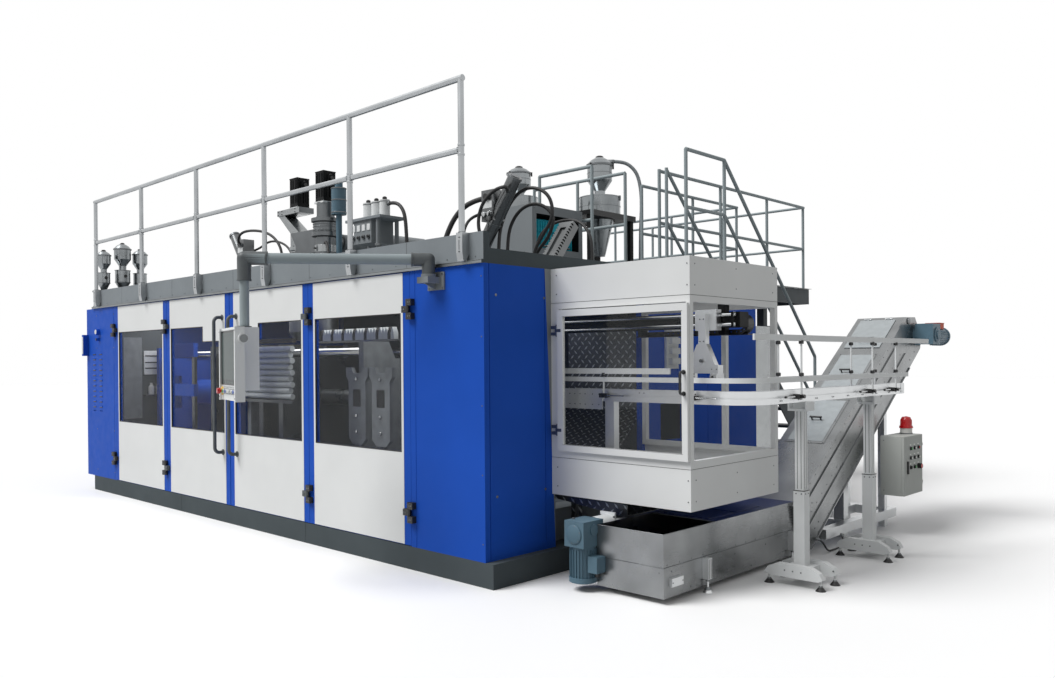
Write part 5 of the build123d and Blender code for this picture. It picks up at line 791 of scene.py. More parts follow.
def operator_panel():
    """Screen, bezel, keys and coloured buttons of the swing panel."""
    made = Shape("screen_glass", "display", "anodised_aluminium", "light_grey_enamel", "milled_steel")

    def slab(u0, u1, w0, w1, low, high, slot):
        """Flat field on the panel, low and high being counted from its face."""
        made.prism([(u0, w0), (u1, w0), (u1, w1), (u0, w1)],
                   lambda u, w, k: panel_at(u, PANEL_FACE + (high if k else low), w), slot)

    slab(-239, 239, 1416, 1797, -3, 0.5, 0)
    slab(-222, 222, 1452, 1762, 0.4, 0.9, 1)
    slab(-222, 222, 1764, 1782, 0.4, 1.1, 1)
    for u in range(-214, 200, 72):
        slab(u, u + 62, 1428, 1444, 0.4, 1.1, 1)
    for u0, u1, w0, w1 in ((-243, 243, 1797, 1804), (-243, 243, 1409, 1416), (-243, -239, 1409, 1804),
                           (239, 243, 1409, 1804)):
        slab(u0, u1, w0, w1, -1, 4, 2)
    for u in KEY_US:
        slab(u - 13, u + 13, 1397, 1403, 0, 0.8, 4)
    for side in (-1, 1):
        for w in (1330, 1792):
            made.bar(panel_at(side * 252, 123, w), panel_at(side * 252, 126, w), 9, 4, sides=12)
        made.bar(panel_at(side * 291, 70, 1736), panel_at(side * 296, 70, 1736), 54, 4)
    made.done("panel_screen", "operator_panel", 0.4)
    outwards = Vector(panel_at(0, 1, 0)) - Vector(panel_at(0, 0, 0))
    keys = Shape("green_plastic", "black_plastic", "blue_plastic", "white_plastic", "milled_steel", "yellow_plastic")
    collar = [(14, 0), (20, 0), (20, 4), (17, 6), (14, 6)]
    for u, high, color in zip(KEY_US, (16, 10) * 4, (0, 1, 2, 3, 3, 1, 3, 2)):
        top = PANEL_FACE + high
        keys.lathe(panel_at(u, PANEL_FACE, KEY_Z), collar, 4, 28, outwards)
        keys.bar(panel_at(u, top, KEY_Z), panel_at(u, top + 4, KEY_Z), 27, color, 23)
    keys.bar(panel_at(STOP_U, PANEL_FACE + 0.5, KEY_Z), panel_at(STOP_U, PANEL_FACE + 9.5, KEY_Z), 60, 5)
    keys.done("panel_buttons", "operator_panel", 0.8)
    grip = Shape("red_plastic")
    grip.lathe(panel_at(STOP_U, PANEL_FACE + 20, KEY_Z), [(19, 0), (21.5, 2), (21.5, 9), (19, 12)], 0, 28, outwards)
    grip.done("stop_grip", "stop_button", 0.5)


def arm_fittings():
    """Clamp screws and collars of the swing arm."""
    made = Shape("milled_steel", "elbow_casting")
    way = (cos(ARM_DIR), sin(ARM_DIR), 0)
    for along in (112, 1128):
        made.band(arm_at(along, 0, 2306), 75, 102, 12, 1, way)
    made.band(arm_at(ARM_LENGTH, 0, 2146), 65, 102, 12, 1)
    for z in (2280, 2332):
        for along in (40, 85, 1170, 1225):
            made.bar(arm_at(along, 44, z), arm_at(along, 50, z), 9, 0, sides=6)
    made.done("arm_fittings", "arm", 0.8)
    plate = Shape("milled_steel")
    plate.studs(grid((ARM_PIVOT[0] - 70, ARM_PIVOT[0] + 80), -1914, (2104, 2202)), FRONT, 6, 13, 0, 6)
    plate.done("bracket_bolts", "machine", 0.6)


# Cage, picker and outfeed
def cage_fittings():
    """Seam lines, corner screws and sill tray of the guard cage, and the fittings of its door."""
    made = Shape("black_plastic", "milled_steel", "cage_enamel")
    front, side = -1208, 4718
    for z in (851, 1994):
        made.box((3506, front - 2.4, z), (side, front - 0.2, z + 2), 0)
        made.box((side + 0.2, front, z), (side + 2.4, -42, z + 2), 0)
    screw_z = (640, 780, 2060, 2200)
    made.studs(grid((3560, 4700), front - 1, screw_z), FRONT, 4, 9, 1)
    made.studs(grid(side + 1, (-1150, -630, -110), screw_z), RIGHT, 3, 9, 1)
    made.box((3560, -1160, 580), (4676, -90, 586), 2)
    made.done("cage_fittings", "machine", 0.4)
    door = Shape("black_plastic", "milled_steel")
    face = -1236
    door.studs(grid(4688, face, (1349, 1490)), FRONT, 7, 30, 0, 20)
    door.boxes(grid(3630, face - 0.6, (951.5, 1890.5)), (1048, 2.1, 2), 0)
    door.studs(grid((3592, 3608), face - 0.5, (1057, 1791)), FRONT, 3, 8, 1)
    door.done("cage_door_fittings", "cage_door_body", 0.6)


def picker_fittings():
    """Gripper bosses, air fittings and cover screws of the part picker."""
    made = Shape("drawn_steel", "black_plastic", "milled_steel")
    jaws = (4330, 4550)
    for x in jaws:
        made.band((x, -660.5, 1445), 18, 44, 12, 0, FRONT, 28)
    made.studs(grid(jaws, -660.5, 1445), FRONT, 7.5, 20, 1, 20)
    made.studs(grid(jaws, -600, 1472), UP, 14, 14, 1, 20)
    made.studs(grid((4310, 4350, 4530, 4570), -645, 1500), FRONT, 4, 9, 2, 6)
    made.studs(grid((4425, 4455), -630, (1700, 1860)), FRONT, 4, 11, 2, 6)
    made.bar((4440, -646, 1560), (4440, -650, 1560), 26, 2)
    made.done("picker_fittings", "takeout", 0.6)


def chain_pins():
    """Pale pins of the energy chain's links, on the side that shows."""
    made = Shape("blue_plastic")
    loop_x, mid_z, reach, pitch = 4596.0, 1828.0, 57.0, 46
    places = [(loop_x - 20 - i * pitch, mid_z - reach) for i in range(14)]
    for i in range(6):
        a = -pi / 2 + pi * (i + 0.5) / 6
        places.append((loop_x + reach * cos(a), mid_z + reach * sin(a)))
    places += [(loop_x - 20 - i * pitch, mid_z + reach) for i in range(8)]
    made.studs([(x, -376.5, z) for x, z in places], FRONT, 2.5, 9)
    made.done("chain_pins", "machine", 0.0)


def conveyor_fittings():
    """Screw holes, rail clamps, adjusting rods and slot covers along the outfeed."""
    made = Shape("black_plastic", "drawn_steel", "milled_steel", "anodised_aluminium")
    # Black discs on the side: painted shade in the screw holes
    made.studs(grid((3560, 3610, 3660, 3710, 3780, 3840), -1067.5, (1246, 1322)), FRONT, 1.1, 9)
    made.studs(grid((4200, 4240, 4620, 4660), -1059.5, 1338), FRONT, 2, 9)
    knob = [(7, 0), (16, 0), (17, 6), (17, 18), (14, 24), (7, 24)]
    for y in CLAMP_YS:
        made.caps(grid((5120, 4950), y, (1452, 1672)), knob, 0, 20)
        made.box((5085, y - 46, 1298), (5126, y - 30.5, 1332), 0)
        made.bar((5136, y, 1315), (5146, y, 1315), 26, 0)
        made.bar((5108, y - 46, 1315), (5108, y - 190, 1315), 9, 1)
        made.bar((5108, y - 190, 1315), (5108, y - 206, 1315), 16, 0)
    for x in (3910, 4660):
        for z in (1452, 1468):
            made.band((x, -1095, z), 14, 30, 12, 0, UP, 20)
        made.box((x - 34, -1112, 1300), (x + 34, -1104, 1332), 0)
        made.bar((x + 34, -1108, 1316), (x + 190, -1108, 1316), 9, 1)
    for shift in (0, 24):
        made.studs(grid(5085, range(-700 + shift, 1400 + shift, 260), 1292), RIGHT, 3, 10, 2, 6)
    made.box((5084.6, 1380, 1276), (5088, 1446, 1356), 3)
    made.done("conveyor_fittings", "machine", 0.6)


def stand_fittings():
    """Slot lines painted dark as the shade in the grooves, collar screws and levelling feet of the two outfeed
    stands.
    """
    made = Shape("anodised_aluminium", "milled_steel", "black_plastic")
    x = STAND_X
    for y in STAND_YS:
        # Black lines down the post faces: painted shade in the slot grooves
        for d in (-14, 14):
            made.box((x + d - 2, y - 31.6, 664), (x + d + 2, y - 30.6, 1204), 2)
            made.box((x + 30.6, y + d - 2, 664), (x + 31.6, y + d + 2, 1204), 2)
        made.studs(grid((x - 20, x + 20), y - 39.5, 632), FRONT, 3.5, 10, 1, 10)
        made.studs(grid(x + 39.5, (y - 20, y + 20), 632), RIGHT, 3.5, 10, 1, 10)
        made.box((x - 42, y - 42, 650), (x + 42, y - 40, 656), 2)
        made.box((x + 40, y - 42, 650), (x + 42, y + 42, 656), 2)
        for side in (-1, 1):
            foot_y = y + side * 110
            spindles = (x - 190, x + 190)
            made.caps(grid(spindles, foot_y, 24), [(8, 0), (13, 0), (14, 6), (11, 12), (8, 12)], 1, 20)
            made.studs(grid(spindles, foot_y, 70), UP, 10, 24, 1, 6)
            made.studs(grid(spindles, foot_y - side * 26, 100), (0, -side, 0), 5, 12, 1, 6)
            made.studs(grid((x - 60, x, x + 60), foot_y - 26, 108), FRONT, 3.5, 10, 1, 10)
    made.done("stand_fittings", "machine", 0.6)


# Scrap line
def tray_fittings():
    """Rolled rims, rivets, inner belt with its cleats, cover plates and feet of the scrap tray."""
    made = Shape("stainless_y", "milled_steel", "blue_belt", "anodised_aluminium", "black_rubber")
    made.bar((4112, -1429, 452), (4653, -1429, 452), 7, 0, sides=12)
    made.bar((4654, -1429, 452), (4654, -802, 452), 7, 0, sides=12)
    made.box((4654.6, -1430, 236), (4658, 420, 239), 1)
    made.box((4112, -1433, 236), (4658, -1430.2, 239), 1)
    rivet = cap(5, 1, 3, 2.6, -1)
    made.caps(grid(TRAY_SIDE, range(-1390, 300, 140), 252), rivet, 1, 12, RIGHT)
    made.caps(grid((4150, 4620), -1430, 205), rivet, 1, 12, FRONT)
    bolts = ((-1340, 205), (-1120, 70), (-870, 190), (-660, 100), (-560, 190), (-330, 70), (-120, 190), (150, 90))
    made.caps([(TRAY_SIDE, y, z) for y, z in bolts], cap(7, 1, 4, 3.4, -1), 1, 12, RIGHT)
    made.box((4122, -1418, 160.2), (4643, -806, 166), 2)
    made.boxes(grid(4140, range(-1390, -800, 130), 165), (485, 8, 23), 2)
    made.boxes(grid(4190, (-760, -400), 454), (385, 340, 5), 2)
    made.studs(grid((4200, 4560), (-740, -440, -380, -80), 458.5), UP, 2.5, 10, 1)
    for x, y, side in ((4681, -955, 1), (4084, -955, -1), (4681, 250, 1), (4084, 250, -1)):
        # Black lines down the legs: painted shade in the slot grooves
        for dy in (-11, 11):
            made.box((x + side * 19.6, y + dy - 2, 96), (x + side * 21, y + dy + 2, 228), 4)
        made.box((x - 22, y - 24, 226), (x + 22, y + 24, 233), 3)
        made.lathe((x, y, 20), [(9, 0), (24, 0), (20, 10), (15, 16), (9, 16)], 1, 24)
        made.bar((x, y, 74), (x, y, 86), 27, 1, sides=6)
    made.studs(grid(4678, (-1360, -1250), 137), RIGHT, 4, 9, 1)
    made.done("tray_fittings", "machine", 0.6)


def motor_fins(made, start, end, inner, outer, count, skip_over=1.0):
    """Cooling fins along a motor between two points on its axis; none whose way is steeper than skip_over."""
    a, b = Vector(start), Vector(end)
    turn = (b - a).to_track_quat("Z", "Y").to_matrix()
    for i in range(count):
        angle = tau * i / count
        out = turn @ Vector((cos(angle), sin(angle), 0.0))
        side = turn @ Vector((-sin(angle), cos(angle), 0.0))
        if out.z <= skip_over:
            made.prism([(inner, -1.6), (outer, -1.6), (outer, 1.6), (inner, 1.6)],
                       lambda u, v, k: (b if k else a) + out * u + side * v, 0)


def drive_fittings():
    """Fins, cowls, covers and plugs of the two gearmotors."""
    made = Shape("gear_enamel", "milled_steel", "black_plastic", "orange_enamel")
    x, y = 4020, -1470
    motor_fins(made, (x, y, 96), (x, y, 288), 84, 95, 26)
    made.band((x, y, 62), 168, 196, 34, 0)
    for inner in range(40, 130, 22):
        made.band((x, y, 52.4), inner, inner + 10, 2, 2)
    made.lathe((x + 3, -1570, 394), cap(66, 6, 56, 12), 0, 32, FRONT)
    made.bolts((x + 3, -1576, 394), FRONT, 112, 6, 12, 5, 1, 0.3)
    made.lathe((4108, -1462, 420), [(0.1, 0), (40, 0), (40, 8), (0.1, 8)], 0, 28, RIGHT)
    made.bar((3960, -1500, 482), (3960, -1500, 492), 22, 1, sides=6)
    made.bolts((4030, -1216, 412), FRONT, 176, 4, 16, 9, 1, 0.785)
    made.box((4178, -1524, 144), (4184, -1432, 246), 0)
    made.bar((4150, -1478, 136), (4150, -1478, 110), 30, 2)
    x, y, z = 4790.3, 2860, 1790
    motor_fins(made, (x, 2966, 1780), (x, 3176, 1780), 83, 93, 24, 0.55)
    made.band((x, 3184, 1780), 166, 186, 26, 0, (0, 1, 0))
    made.lathe((x + 80, y, z), cap(72, 8, 60, 14), 0, 32, RIGHT)
    made.bolts((4878, y, z), RIGHT, 124, 6, 13, 6, 1, 0.2)
    made.bolts((4704, y, z), (-1, 0, 0), 170, 6, 13, 7, 1)
    made.box((4716, 2986, 1906), (4854, 3124, 1912), 3)
    made.bar((4740, 2990, 1880), (4740, 2970, 1880), 24, 2)
    made.done("drive_fittings", "machine", 0.7)


def rise_at(along, up, x):
    """Position in millimetres on the incline."""
    c, s = cos(RISE_SLOPE), sin(RISE_SLOPE)
    return (x, RISE_FOOT[0] + along * c - up * s, RISE_FOOT[1] + along * s + up * c)


def incline_fittings():
    """Windows, handles, edge folds and screws of the incline."""
    made = Shape("frosted_acrylic", "black_plastic", "stainless_y", "milled_steel")
    side = RISE_SIDE

    def plate(x0, x1, a0, a1, up0, up1, slot):
        """Box that lies along the incline."""
        made.prism([(a0, up0), (a1, up0), (a1, up1), (a0, up1)],
                   lambda a, up, k: rise_at(a, up, x1 if k else x0), slot)

    def side_screws(alongs, ups, high, dia):
        """Screw heads on the incline's right side."""
        for a, up, _ in grid(alongs, ups, 0):
            made.bar(rise_at(a, up, side), rise_at(a, up, side + high), dia, 3, sides=8)

    for a0, a1 in ((1440, 2060), (720, 1340)):
        plate(4268, 4622, a0, a1, 469.5, 474, 2)
        plate(4290, 4600, a0 + 24, a1 - 24, 473.5, 476, 0)
        middle = (a0 + a1) / 2
        for x in (4400, 4480):
            made.bar(rise_at(middle, 475, x), rise_at(middle, 508, x), 13, 1, sides=12)
        made.bar(rise_at(middle, 508, 4386), rise_at(middle, 508, 4494), 17, 1, sides=14)
        for x, a, _ in grid((4280, 4611), (a0 + 12, middle, a1 - 12), 0):
            made.bar(rise_at(a, 473.5, x), rise_at(a, 477, x), 9, 3, sides=10)
    for up in (0, 460):
        plate(side, 4690, -40, 2500, up, up + 10, 2)
    side_screws(range(30, 2490, 112), (24, 240, 438), 3.5, 8)
    side_screws((30, 110, 190), (90, 290, 410), 4, 11)
    side_screws((2560, 2700, 2840), (60, 300), 4, 11)
    made.bar(rise_at(2740, 392, 4679), rise_at(2740, 392, 4690), 60, 3)
    made.done("incline_fittings", "machine", 0.5)


def box_fittings():
    """Button tops, key plates and lock of the control box door, and the lamp's ribs and rings."""
    made = Shape("green_plastic", "white_plastic", "red_plastic", "black_plastic", "milled_steel")
    for row, colors in enumerate(((0, 1, 2), (1, 1, 1), (3, 0, 2))):
        for column, color in enumerate(colors):
            y, z = 1882 + column * 90, 768 - row * 84
            out, radius = (5008, 22) if row == column == 2 else (4990, 11)
            made.lathe((out, y, z), cap(radius, 3, radius - 3, 5), color, 24, RIGHT)
            made.band((4976, y, z), 31, 38, 3, 4, RIGHT, 24)
            made.box((4975.6, y - 16, z + 26), (4977, y + 16, z + 36), 1)
    made.bar((4989, 1812, 600), (4993, 1812, 600), 12, 4)
    made.done("box_buttons", "box_door", 0.4)
    lamp = Shape("red_plastic", "milled_steel", "black_plastic")
    for i in range(16):
        out = Vector((cos(tau * i / 16), sin(tau * i / 16), 0))
        foot = Vector((*LAMP_XY, 954)) + out * 49
        lamp.bar(foot, foot - out * 2 + Vector((0, 0, 52)), 4, 0, sides=8)
    lamp.band((*LAMP_XY, 930), 104, 120, 8, 0)
    lamp.band((*LAMP_XY, 878), 104, 114, 8, 1)
    lamp.studs(grid(4800, 1732, (400, 840)), FRONT, 3, 9, 1, 10)
    lamp.bar((4766, 2080, 430), (4740, 2080, 430), 34, 2)
    lamp.done("lamp_fittings", "machine", 0.4)


# Roof equipment
def servo_fittings():
    """Top plates, flanges, ribs and connectors of the servo motors, and bands of the filter can."""
    made = Shape("black_enamel", "milled_steel", "black_plastic", "light_grey_enamel")
    y = HEAD_Y
    for x in HEAD_X:
        made.box((x - 76, y - 76, 3518), (x + 76, y + 76, 3529), 0)
        made.box((x - 84, y - 84, 3199), (x + 84, y + 84, 3217), 3)
        made.studs(grid((x - 70, x + 70), (y - 70, y + 70), 3216), UP, 10, 14, 1, 6)
        made.studs(grid((x - 62, x + 62), (y - 62, y + 62), 3528), UP, 4, 12, 1)
        for d in (-56, -34, 34, 56):
            made.box((x + d - 5, -1028, 3262), (x + d + 5, -1022, 3508), 0)
            made.box((x + 72, y + d - 5, 3262), (x + 78, y + d + 5, 3508), 0)
        made.bar((x + 103, y, 3450), (x + 128, y, 3450), 38, 2)
        made.bar((x + 103, y, 3392), (x + 122, y, 3392), 30, 2)
        made.bar((x + 88, y, 3470), (x + 88, y, 3497), 26, 2)
    for z in (3075, 3200, 3318):
        made.band((380, y, z), 149, 158, 10, 1)
    made.lathe((380, y, 3390), cap(30, 20, 16, 34), 2, 24)
    made.done("servo_fittings", "machine", 0.8)


def head_fittings():
    """Heater bands, flange bolts and clamp blocks of the two die heads, and fittings of the valve stand."""
    made = Shape("stainless_z", "milled_steel", "black_plastic", "light_grey_enamel")
    for x, dia, top in ((HEAD_X[0], 160.0, 2960), (HEAD_X[1], 217.0, 3209)):
        front = HEAD_Y - dia / 2
        for z in range(2330, top - 450, 92):
            made.band((x, HEAD_Y, z), dia - 1, dia + 12, 72, 0)
            made.box((x - 16, front - 16, z + 8), (x + 16, front + 2, z + 64), 0)
            made.bar((x, front - 14, z + 36), (x, front - 36, z + 36), 18, 2)
        made.bolts((x, HEAD_Y, top - 310), UP, dia * 1.18, 10, 17, 12, 1)
        made.bolts((x, HEAD_Y, top - 165), UP, dia * 1.16, 8, 15, 10, 1, 0.2)
        for lift in (-290, -255, -230):
            made.band((x, HEAD_Y, top + lift), dia * 1.14, dia * 1.22, 8, 1)
    made.studs(grid((-640, -560, -300), -1040, (3162, 3196)), FRONT, 6, 12, 2, 6)
    for x in (820, 900, 980, 1060):
        made.bar((x, -1080.5, 2760), (x, -1092, 2760), 44, 1)
        made.bar((x, -1092, 2760), (x, -1104, 2760), 24, 2)
        made.box((x - 24, -1086, 2820), (x + 24, -1079, 2880), 3)
    for x in (880, 1010, 1140):
        made.band((x, -950, 3090), 99, 106, 8, 1)
        made.lathe((x, -950, 3110), cap(22, 26, 10, 34), 2, 20)
    for place in grid((740, 1180), (-1060, -840), (2520, 2660)):
        made.band(place, 39, 62, 24, 1, UP, 24)
    made.done("head_fittings", "machine", 0.8)


def cylinder_fittings():
    """Caps, tie rods and ports of the two leaning cylinders."""
    made = Shape("milled_steel", "drawn_steel", "black_plastic", "light_grey_enamel")
    lean = radians(35.4)
    for x, way in ((2125.0, 1.0), (-1730.0, -1.0)):
        axis = Vector((way * sin(lean), 0.0, cos(lean)))
        foot = Vector((x, -700.0, 2420.0))
        for along in (420, 868):
            made.band(foot + axis * along, 120, 134, 24, 0, axis)
        made.lathe(foot + axis * 894, [(0.1, 0), (40, 0), (40, 5), (0.1, 5)], 0, 32, axis)
        valve = x + way * 240.0
        made.studs(grid((valve - 40, valve + 30), -770, 2850), FRONT, 16, 46, 1, 20)
        made.bar((valve, -770, 3000), (valve, -800, 3000), 52, 2)
        made.box((valve - 60, -776, 2900), (valve + 60, -769, 2960), 3)
        made.studs(grid((x - 88, x + 88), (-770, -630), 2490), UP, 10, 20, 0, 6)
    made.done("cylinder_fittings", "machine", 0.8)


def unit_fittings():
    """Cooling ribs of the pump motor, louvres and cover screws of its housing."""
    made = Shape("teal_enamel", "black_enamel", "milled_steel", "yellow_plastic")
    made.boxes(grid(2019, range(205, 740, 35), 2690), (12, 9, 255), 0)
    made.bar((2032, 300, 2700), (2032, 700, 2700), 16, 2)
    made.box((2020, 420, 2846), (2046, 560, 2944), 0)
    for z in range(2360, 2640, 32):
        louvre(made, 1560, 100, z, 420, 10, 1)
    made.studs(grid(2080, (130, 820), (2340, 2600, 3050)), RIGHT, 4, 12, 2)
    made.box((2080, 350, 2420), (2081.5, 600, 2560), 1)
    made.done("unit_fittings", "machine", 0.6)


def hopper_fittings():
    """Clamp rings, latches and sight rims of the hoppers and loaders."""
    made = Shape("stainless_drum", "milled_steel", "black_plastic")
    (x, y), (feed_x, feed_y) = HOPPERS
    for z in (3304, 3410, 3522):
        made.band((x, y, z), 496, 508, 10, 0, sides=48)
    ways = [radians(20 + 90 * i) for i in range(4)]
    made.boxes([(x + 250 * cos(a) - 12, y + 250 * sin(a) - 12, 3480) for a in ways], (24, 24, 60), 1)
    for z in (3440, 3628):
        made.band((feed_x, feed_y, z), 479, 490, 10, 0, sides=48)
    dia = 300.0
    for (x, y), z, height in zip(HOPPERS, (3532.3, 3640.3), (480.0, 380.0)):
        made.band((x, y, z + height * 0.785), dia - 1, dia * 1.09, height * 0.05, 1)
        made.band((x, y, z + height * 0.6), dia - 1, dia + 5, 6, 1)
        made.lathe((x, y, z + height), cap(dia * 0.16, 16, dia * 0.1, 26), 2, 28)
        ways = [tau * i / 3 + 0.5 for i in range(3)]
        made.boxes([(x + dia * 0.55 * cos(a) - 8, y + dia * 0.55 * sin(a) - 8, z + height * 0.7) for a in ways],
                   (16, 16, height * 0.14), 2)
    made.boxes(grid((846, 1461), 1735, 3240), (8, 850, 66), 2)
    made.done("hopper_fittings", "machine", 0.6)


def doser_fittings():
    """Clamp rings, lids and motors of the three dosing units on the left."""
    made = Shape("stainless_drum", "milled_steel", "black_plastic")
    x, shelf = -3620.0, 2490.0
    for y, scale in ((-1754, 0.82), (-1521, 1.0), (-1300, 0.9)):
        made.band((x, y, shelf + 262 * scale), 179 * scale, 192 * scale, 8, 1)
        made.band((x, y, shelf + 112 * scale), 179 * scale, 187 * scale, 7, 1)
        base = shelf + 0.3 + 270 * scale
        made.band((x, y, base + 330 * scale * 0.785), 199 * scale, 218 * scale, 14, 1)
        made.lathe((x, y, base + 330 * scale), cap(26, 14, 14, 22), 2, 24)
        plug_z = shelf + 190 * scale
        made.bar((x + 88 * scale, y, plug_z), (x + 96 * scale, y, plug_z), 40, 2)
    made.done("doser_fittings", "machine", 0.5)


def gallery_fittings():
    """Edge strips along the gallery's deck."""
    made = Shape("zinc_lip", "black_enamel")
    made.box((2600, 1826, 2470.2), (2640, 4830, 2474), 0)
    made.box((1906, 1826, 2470.2), (1910, 4140, 2474), 0)
    made.done("gallery_fittings", "machine", 0.4)


def inside_fittings():
    """Covers, film, cast brackets and beams that show through the windows in front of the clamps."""
    made = Shape("milky_film", "black_rubber", "milled_steel", "grey_casting", "blue_enamel", "drawn_steel",
                 "light_grey_enamel", "white_plastic")
    # Bellows over the right clamp
    for i, x in enumerate(range(960, 2050, 42)):
        made.prism([(x, 1812), (x + 21, 1862), (x + 42, 1812), (x + 42, 1760), (x, 1760)],
                   lambda u, w, k: (u, -1560 + 50 * k, w), 0 if i % 4 else 1)
    made.box((940, -1565, 1744), (2070, -1505, 1760), 2)
    # Film rolls on a shelf
    for i in range(9):
        z = 1236 + i * 58
        made.bar((-790 + 22 * (i % 3), -1535, z), (440 - 30 * (i % 2), -1535, z), 56, 0, sides=18)
    made.box((-800, -1560, 1170), (470, -1515, 1200), 2)
    made.box((-800, -1555, 1760), (470, -1515, 1800), 1)
    # Two cast brackets on their feet
    for x in (1400, 1742):
        outline = [(0, 900), (60, 846), (190, 846), (250, 900), (250, 1400), (285, 1440), (285, 1520), (205, 1520),
                   (180, 1470), (70, 1470), (45, 1520), (-35, 1520), (-35, 1440), (0, 1400)]
        made.prism(outline, lambda u, w, k: (x + u, -1560 + 36 * k, w), 3)
        made.box((x + 70, -1563, 1180), (x + 180, -1559, 1330), 1)
        made.box((x + 85, -1555, 210), (x + 165, -1520, 850), 2)
        made.studs(grid(x + 125, -1560, (960, 1100, 1420)), FRONT, 12, 30, 5, 6)
    # Blue beams on posts over the left clamp
    for z0, z1 in ((1635, 1790), (1193, 1329)):
        made.box((-2314, -1560, z0), (-1579, -1510, z1), 4)
    made.boxes(grid((-2290, -1640), -1552, 210), (60, 34, 1490), 2)
    # Rack, shelf with two containers and the cover plate on the left wall
    wall, shelf = -2888, 1188
    made.box((wall, -1572, 1430), (wall + 20, -1342, 1720), 6)
    made.boxes(grid(wall + 19, -1560, (1500, 1570, 1650)), (5, 206, 14), 1)
    made.box((wall, -1580, shelf - 18), (wall + 88, -1340, shelf), 2)
    container = [(0.1, 0), (34, 0), (34, 92), (14, 118), (14, 140), (0.1, 140)]
    made.caps(grid(wall + 50, (-1500, -1410), shelf), container, 7, 24)
    made.box((wall, -1820, 900), (wall + 28, -1600, 1880), 3)
    made.done("inside_fittings", "machine", 1.5)


# Stage
def seen_rays(tree):
    """1 for rays from the camera, or mirrored or passed on by a surface, otherwise 0."""
    path = node(tree, "ShaderNodeLightPath")
    seen = path.outputs["Is Camera Ray"]
    for other in ("Is Glossy Ray", "Is Transmission Ray"):
        seen = node(tree, "ShaderNodeMath", {0: seen, 1: path.outputs[other]}, operation="MAXIMUM").outputs["Value"]
    return seen


def build_stage(look):
    """Floor, lights, world and camera."""
    scene = bpy.context.scene

    def link(name, data, place=(0, 0, 0)):
        """Adds an object to the scene at its place in metres."""
        made = bpy.data.objects.new(name, data)
        made.location = place
        scene.collection.objects.link(made)
        return made

    half = FLOOR_SIZE / 2
    mesh = bpy.data.meshes.new("studio_floor")
    mesh.from_pydata([(-half, -half, 0), (half, -half, 0), (half, half, 0), (-half, half, 0)], [], [(0, 1, 2, 3)])
    material = bpy.data.materials.new("studio_floor")
    material.use_nodes = True
    tree = material.node_tree
    shader = tree.nodes["Principled BSDF"]
    shader.inputs["Roughness"].default_value = 0.6
    shader.inputs["Specular IOR Level"].default_value = 0.1
    # White paper floor in the picture and in reflections; duller for the light it throws back on the machine
    shade = node(tree, "ShaderNodeMix", {"Factor": seen_rays(tree), "A": linear("#a9abac"), "B": linear("#fcfcfc")},
                 data_type="RGBA")
    tree.links.new(shade.outputs["Result"], shader.inputs["Base Color"])
    mesh.materials.append(material)
    link("studio_floor", mesh)
    world = bpy.data.worlds.new("studio")
    world.use_nodes = True
    tree = world.node_tree
    strength = node(tree, "ShaderNodeMix", {"Factor": seen_rays(tree), "A": look.fill, "B": 1.0}, data_type="FLOAT")
    background = tree.nodes["Background"]
    background.inputs["Color"].default_value = (1.0, 1.0, 1.0, 1.0)
    tree.links.new(strength.outputs["Result"], background.inputs["Strength"])
    scene.world = world
    sun = bpy.data.lights.new("key", "SUN")
    sun.energy = look.key
    sun.angle = look.softness
    link("key", sun).rotation_euler = Vector(KEY_WAY).to_track_quat("-Z", "Y").to_euler()
    # Lamps under the roof and under the cage's top, for what shows through the windows
    for name, place, size, power in (("inside", (-0.3, -1.3, 2.2), (5.8, 0.7), look.inside),
                                     ("cage", (4.1, -0.9, 2.2), (0.9, 0.5), look.inside * 0.06)):
        lamp = bpy.data.lights.new(name, "AREA")
        lamp.shape = "RECTANGLE"
        lamp.size, lamp.size_y = size
        lamp.energy = power
        link(name, lamp, place)
    yaw, pitch, roll = CAMERA_TURN
    ahead = Vector((-sin(yaw) * cos(pitch), cos(yaw) * cos(pitch), sin(pitch)))
    right = Vector((cos(yaw), sin(yaw), 0.0))
    down = ahead.cross(right)
    columns = (right * cos(roll) + down * sin(roll), right * sin(roll) - down * cos(roll), -ahead)
    lens = bpy.data.cameras.new("camera")
    lens.lens = CAMERA_LENS
    lens.sensor_width = 36.0
    lens.shift_x, lens.shift_y = CAMERA_SHIFT
    camera = link("camera", lens)
    turn = Matrix([[c[i] for c in columns] for i in range(3)]).to_4x4()
    camera.matrix_world = Matrix.Translation(metres(CAMERA_PLACE, CORNER)) @ turn
    scene.camera = camera
    scene.view_settings.view_transform = "Standard"


# Properties
class MouldingLook(bpy.types.PropertyGroup):
    shell_color: FloatVectorProperty(name="Shell colour", description="Enamel of the cabinets and door stiles",
                                     subtype="COLOR", size=3, min=0.0, max=1.0, default=linear("#2253b8")[:3])
    door_color: FloatVectorProperty(name="Door colour", description="Enamel of the door fields",
                                    subtype="COLOR", size=3, min=0.0, max=1.0, default=linear("#e6e7e6")[:3])


class MouldingStage(bpy.types.PropertyGroup):
    key: FloatProperty(name="Key light", description="Strength of the soft light from the front left",
                       default=2.75, min=0.0)
    softness: FloatProperty(name="Softness", description="Angle across the key light", default=radians(32.0),
                            min=0.0, max=pi, subtype="ANGLE", unit="ROTATION")
    fill: FloatProperty(name="Fill", description="Strength of the even light all round", default=0.35, min=0.0)
    inside: FloatProperty(name="Inside light", description="Power of the light over the clamps", default=46.0,
                          min=0.0, unit="POWER")


# Operators
class MOULDING_OT_stage(bpy.types.Operator):
    """Adds the floor, the lights and the camera"""
    bl_idname = "moulding.stage"
    bl_label = "Stage"

    def execute(self, context):
        build_stage(context.scene.moulding_stage)
        return {"FINISHED"}


